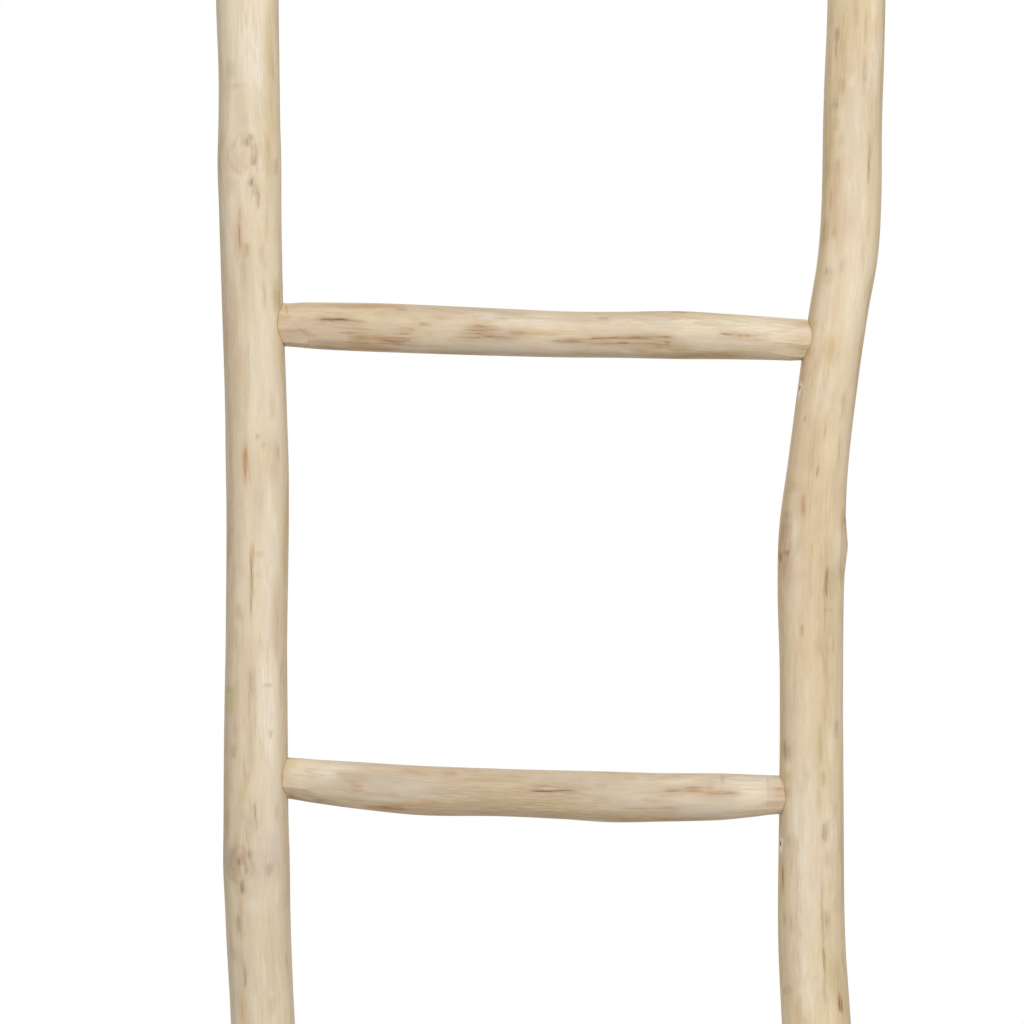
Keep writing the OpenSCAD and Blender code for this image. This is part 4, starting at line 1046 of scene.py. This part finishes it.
def post_face(name, post, mid):
    """How far a post reaches towards a rung from its pith: the furthest of five points over the rung's
    height."""
    toward = {"left_post": 0, "right_post": 180}[name]
    heights = mid[2] + rung_d / 2 * np.array([-1, -0.5, 0, 0.5, 1])
    reach = post_r(post, heights, toward) * np.cos(np.radians(toward)) + pith(post, heights)[0] - mid[0]
    return np.max(reach * np.cos(np.radians(toward)))


def shoulder_line(rows, bearing):
    """The way along at which the whittling ends, for each bearing: straight from row to row round the rung,
    then averaged over a few neighbours so that it has no corners."""
    rows = np.array(rows, float)
    line = np.interp(bearing, rows[:, 0], rows[:, 1], period=360) / 1000
    return sum(np.roll(line, k) for k in range(-6, 7)) / 13


def make_rung(i, rung):
    """A rung's skin: rings of points from the left tenon's end to the right one's, square to the straight
    line between the two mortises. Between its shoulders it has the branch's girth, a little oval, cut by
    each whittled flat: a plane that starts at the tenon and climbs out of the wood as it runs along. Near
    each end the rings lean so that one lies along the line where the whittling stops."""
    start, way = mortise_mid(i, left_post), rung_dir(i)
    span = np.linalg.norm(mortise_mid(i, right_post) - start)
    left_face = post_face("left_post", left_post, start)
    right_face = post_face("right_post", right_post, mortise_mid(i, right_post))
    body_low, body_high = left_face + shoulder_gap, span - right_face - shoulder_gap
    tip_low, tip_high = left_face - tenon_len, span - right_face + tenon_len
    side_rows = np.linspace(tip_low + tip_bevel, tip_high - tip_bevel, rung_rows)
    inward = np.linspace(1, 0.1, 6)[1:]
    along = np.concatenate([0 * inward + tip_low, [tip_low], side_rows, [tip_high], 0 * inward + tip_high])
    share = np.concatenate([
        inward[::-1] * tip_share, [tip_share], 0 * side_rows + 1, [tip_share], inward * tip_share])

    mean_r = rung_d / 2
    home = np.arange(rung_sides) * 360 / rung_sides
    bearing = np.tile(home, (len(along), 1))

    # Rungs 2 and 3 are the two in the photograph, so their fronts take no stray marks
    seen = (0, span * 1000) if i in (2, 3) else (0, 0)
    lines, patches = stray_marks(rung_strays, span * 1000, seen, rung_front, 1.0, rung["seed"])
    clear_low, clear_high = 1000 * (body_low + stray_clear), 1000 * (body_high - stray_clear)
    lines = [line for line in lines if line[1] > clear_low and line[3] < clear_high]
    lines += placed(rung["lines"], rung["turn"])
    depth, painted = open_lines(bearing, along, mean_r, lines)

    # The two rings at the shoulder lines, drawn onto them and the rings near them with them
    leaning, shoulder_marks = np.tile(along[:, None], rung_sides), []
    for rows, strength in zip(rung["shoulders"], rung["edges"]):
        line = shoulder_line(rows, home)
        ring = np.argmin(np.abs(along - line.mean()))
        away = along - along[ring]
        leaning += np.exp(-(away / lean_reach) ** 2)[:, None] * (line - along[ring])
        along_line = strength * (0.75 + 0.25 * np.sin(np.radians(5 * home + 60 * i)))
        shoulder_marks.append((ring, along_line))
    along, share = leaning, share[:, None]

    grain_bearing, heart, strong = part_round_knots(bearing, along, mean_r, rung["hearts"])
    patches += placed(rung["patches"], rung["turn"]) + halos(lines, 1.3, 0.35)
    coat, dried = patched(bearing, along, mean_r, patches, painted)
    for ring, cover in shoulder_marks:
        coat[ring] = laid_over(coat[ring], "brown", cover)
        dried[ring] += shoulder_dent

    t = np.clip((along - body_low) / (body_high - body_low), 0, 1)
    back, up, girth = curve_through(rung["bends"], t)
    radius = rung_swell + mean_r * girth * (1 + 0.015 * np.cos(np.radians(2 * bearing + 200 * t + 70 * i)))
    radius = radius - drawknife_flats(bearing, along, mean_r, rung_flat, rung["seed"])
    radius = radius - knot_relief(heart, strong) - dried
    for end, flats in enumerate(rung["flats"]):
        out = along - body_low if end == 0 else body_high - along
        for toward, run_out, begin in flats:
            climb = np.clip(out * 1000 / run_out, 0, 3)
            plane = begin / 1000 + (mean_r * girth + 0.0006 - begin / 1000) * climb ** 1.3
            lean = np.cos(np.radians(turned(bearing - toward)))
            radius = np.minimum(radius, np.where(lean > 0.3, plane / np.maximum(lean, 0.3), 1.0))
    inside = np.maximum(body_low - along, along - body_high)
    whittled = np.clip(inside / 0.002 - 2, 0, 1)
    radius = radius * (1 - whittled) + np.minimum(radius, tenon_r) * whittled
    outward = share * (radius - depth * (inside < -0.004))

    level = np.cross([0, 0, 1], way)
    level = level / np.linalg.norm(level)
    upward = np.cross(way, level)
    across = back * rung_bow + outward * np.cos(np.radians(bearing))
    upright = up * rung_bow + outward * np.sin(np.radians(bearing))
    rings = start + across[..., None] * level + upright[..., None] * upward + along[..., None] * way
    piece = skin(f"rung_{i}_branch", rings, start + tip_low * way, start + tip_high * way, len(inward) + 1)
    set_grain(piece, grain_bearing, share * mean_r, along + i * 0.7, tip_low, tip_high)

    # How far each point stands out of the post that its end goes into
    seam = np.full(bearing.shape, 1.0)
    for post in (left_post, right_post):
        middle_x, middle_y = pith(post, rings[..., 2])
        toward = np.degrees(np.arctan2(rings[..., 1] - middle_y, rings[..., 0] - middle_x))
        away = np.hypot(rings[..., 0] - middle_x, rings[..., 1] - middle_y)
        out = away - post_r(post, rings[..., 2], toward)
        seam = np.where(np.abs(out) < np.abs(seam), out, seam)
    dress(piece, heart, strong, seam, coat, rung_finish)
    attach(piece, "root")
    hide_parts(f"rung_{i}")


for i, rung in enumerate(rungs, start=1):
    make_rung(i, rung)

# The nails. Drawn steel wire nails, driven in from below each rung until their heads are under the wood.
# The frame's own nails stay, with a dull drawn finish.
nail_bench = Bench("drawn_nail_steel")
nail_place = nail_bench.lay("ShaderNodeTexCoord", "Object", {})
nail_mottle = nail_bench.noise(nail_place, (900, 900, 900), detail=3, rough=0.6)
nail_finish = nail_bench.shade(
    Base_Color=nail_bench.mixed(nail_mottle, tone(150, 147, 143), tone(112, 104, 96)),
    Roughness=nail_bench.eased(nail_mottle, 0.3, 0.7, 0.32, 0.5),
    Normal=nail_bench.raised(nail_mottle, 0.00005), Metallic=1.0)
for i in range(1, rung_count + 1):
    for side in ("left", "right"):
        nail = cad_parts[f"nail_{i}_{side}"]
        nail.data.materials.clear()
        nail.data.materials.append(nail_finish)

# The filler. Pale paste wiped over each nail hole with a thumb: a thin smear along the post, thicker round
# the hole and drawn out below it, with the nick in its middle left open.
smear_rings = 34
smear_sides = 96
smear_over = 0.75
smear_wide = 0.005
smear_up = 0.0048
smear_drawn_out = 0.0085
smear_proud = 0.00024
smear_fall = 0.00022
smear_in_hole = 0.0009
smear_tucked = 0.0011
nick_up = 0.0013
filler_bench = Bench("dry_filler_paste")
filler_place = filler_bench.lay("ShaderNodeTexCoord", "Object", {})
filler_grit = filler_bench.noise(filler_place, (2600, 2600, 2600), detail=3, rough=0.6)
filler_wash = filler_bench.noise(filler_place, (900, 900, 120), detail=3)
filler_thin = filler_bench.eased(filler_wash, 0.3, 0.7, -0.3, 0.3)
filler_thin = filler_bench.math("ADD", filler_bench.kept("thin"), filler_thin)
filler_washed = filler_bench.eased(filler_wash, 0.35, 0.65)
filler_colour = filler_bench.mixed(filler_washed, tone(236, 223, 207), tone(244, 235, 222))
filler_gritty = filler_bench.eased(filler_grit, 0.55, 0.7, 0, 0.25)
filler_colour = filler_bench.mixed(filler_gritty, filler_colour, tone(196, 178, 156))
filler_rubbed = filler_bench.eased(filler_thin, 0.3, 0.9, 0, 0.95)
filler_colour = filler_bench.mixed(filler_rubbed, filler_colour, tone(213, 193, 160))
# The filler's wall down into the hole is painted dark brown: painted shade in the hole.
filler_colour = filler_bench.mixed(filler_bench.kept("dark"), filler_colour, tone(104, 80, 58))
filler_finish = filler_bench.shade(
    Base_Color=filler_colour, Roughness=0.82, Normal=filler_bench.raised(filler_grit, 0.00012),
    Specular_IOR_Level=0.25)


def make_filler(i, name, post):
    """A smear: rings round the nail hole. A share of them, smear_over, goes from the hole's wall over the
    lip and out to a ragged edge that dips under the wood, and the others go back below the surface to the
    hole. Each point lies on the post's skin, raised by a half wave less a cube of its way out."""
    at = mortise_mid(i, post)[2] - nail_drop
    toward = nail_bearing[name]
    turn = np.arange(smear_sides) * 2 * np.pi / smear_sides
    t = np.linspace(0, 1, smear_rings)[:, None]
    over = np.clip(t / smear_over, 0, 1)
    draw = np.random.default_rng(40 + i + (name == "left_post") * 10)
    ragged = 1 + sum(0.09 / k * np.cos((k + 1) * turn + draw.uniform(0, 6.3)) for k in range(1, 10))
    uneven = 1 + sum(size * np.cos(k * turn + draw.uniform(0, 6.3)) for k, size in ((2, 0.16), (3, 0.12)))
    down = np.clip(-np.sin(turn), 0, 1)
    blunt = np.sign(np.cos(turn)) * np.abs(np.cos(turn)) ** 0.7
    hole_up, hole_wide = nick_up * uneven, nick_half * uneven
    edge_up, edge_wide = (smear_up + smear_drawn_out * down ** 2) * ragged, smear_wide * ragged
    reach = np.where(t < smear_over, over, 1 - (t - smear_over) / (1 - smear_over))
    height = at + (hole_up + (edge_up - hole_up) * reach) * np.sin(turn)
    wide = (hole_wide + (edge_wide - hole_wide) * reach) * (np.cos(turn) * (1 - reach) + blunt * reach)
    bearing = toward + np.degrees(wide / post_mean_r)
    lip = smear_proud * np.sin(np.pi * np.clip(over, 0.12, 1)) ** 0.6 - smear_fall * over ** 3
    proud = np.where(t == 0, -smear_in_hole, np.where(t < smear_over, lip, -smear_tucked))
    middle_x, middle_y = pith(post, height)
    cuts = drawknife_flats(bearing, height, post_mean_r, post_flat, post["seed"])
    radius = post_r(post, height, bearing) - cuts + proud
    x, y = middle_x + radius * np.cos(np.radians(bearing)), middle_y + radius * np.sin(np.radians(bearing))
    points = np.stack([x, y, height], axis=-1)
    ring = np.arange(smear_rings * smear_sides).reshape(smear_rings, smear_sides)
    quads = quads_between(np.concatenate([ring, ring[:1]]))
    node = f"filler_{i}_{name.split('_')[0]}"
    mesh = bpy.data.meshes.new(node + "_smear")
    mesh.from_pydata(points.reshape(-1, 3), [], quads[:, ::-1])
    mesh.polygons.foreach_set("use_smooth", np.ones(len(quads), bool))
    mesh.materials.append(filler_finish)
    smear = in_scene(node + "_smear", mesh)
    # How deep in the hole's painted shade each ring lies: 1 at the hole's wall, 0 from a tenth of the way
    # out.
    keep_number(smear, "dark", np.broadcast_to(np.clip(1 - t / 0.1, 0, 1), ring.shape))
    keep_number(smear, "thin", np.broadcast_to(over, ring.shape))
    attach(smear, "root")
    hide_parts(node)


for i in range(1, rung_count + 1):
    make_filler(i, "left_post", left_post)
    make_filler(i, "right_post", right_post)

# The studio. A pale round floor that fades into white at its rim, a big soft lamp in front, a little to
# the right and above, a weak one behind, and an even white room.
floor_r = 2.2
floor_bench = Bench("studio_floor")
floor_place = floor_bench.lay("ShaderNodeTexCoord", "Object", {})
floor_away = floor_bench.lay("ShaderNodeVectorMath", "Value", {0: floor_place}, operation="LENGTH")
floor_bench.shade(Base_Color=tone(217, 216, 214), Roughness=0.9)
rim = floor_bench.times(floor_bench.looked_at(), floor_bench.eased(floor_away, 0.8, 2.0))
white = floor_bench.lay("ShaderNodeEmission", 0, {"Color": (1, 1, 1, 1), "Strength": 1.0})
floor_mix = {0: rim, 1: floor_bench.shader.outputs[0], 2: white}
floor_surface = floor_bench.lay("ShaderNodeMixShader", 0, floor_mix)
floor_bench.plug(floor_bench.tree.nodes["Material Output"], {"Surface": floor_surface})
turn = np.arange(96) * 2 * np.pi / 96
floor_points = np.stack([floor_r * np.cos(turn), floor_r * np.sin(turn), 0 * turn], axis=-1)
floor_mesh = bpy.data.meshes.new("floor")
floor_mesh.from_pydata(floor_points, [], [list(range(len(turn)))])
floor_mesh.materials.append(floor_bench.material)
in_scene("floor", floor_mesh)


def soft_lamp(name, place, aim, size, power):
    """A square lamp at a place, turned to face what it lights."""
    lamp = bpy.data.lights.new(name, "AREA")
    lamp.size = size
    lamp.energy = power
    holder = in_scene(name, lamp)
    holder.location = place
    away = np.array(place) - np.array(aim)
    holder.rotation_euler = (
        np.arctan2(np.hypot(away[0], away[1]), away[2]), 0, np.arctan2(away[0], -away[1]))


soft_lamp("front_lamp", (0.55, -3.6, 2.6), (0, 0, 0.7), 1.6, 111)
soft_lamp("back_lamp", (-1.6, 3.2, 2.6), (0, 0, 0.7), 1.8, 45)
room_light = 0.4
room_bench = Bench("white_room", "worlds", "Background")
room_glow = room_bench.eased(room_bench.looked_at(), 0.0, 1.0, room_light, 1.0)
bpy.context.scene.world = room_bench.shade(Color=(1, 1, 1, 1), Strength=room_glow)

# The camera. Level, in front, at the height from which the marks were read, and as far off as gives the
# photograph's width at the ladder with a long lens.
camera_x = -0.0293
camera_away = 3.2
view_width = 0.768
camera = bpy.data.cameras.new("camera")
camera.lens = camera.sensor_width * camera_away / view_width
camera_holder = in_scene("camera", camera)
camera_holder.location = (camera_x, -camera_away, eye_level)
camera_holder.rotation_euler = (np.pi / 2, 0, 0)
bpy.context.scene.camera = camera_holder
bpy.context.scene.view_settings.view_transform = "Standard"
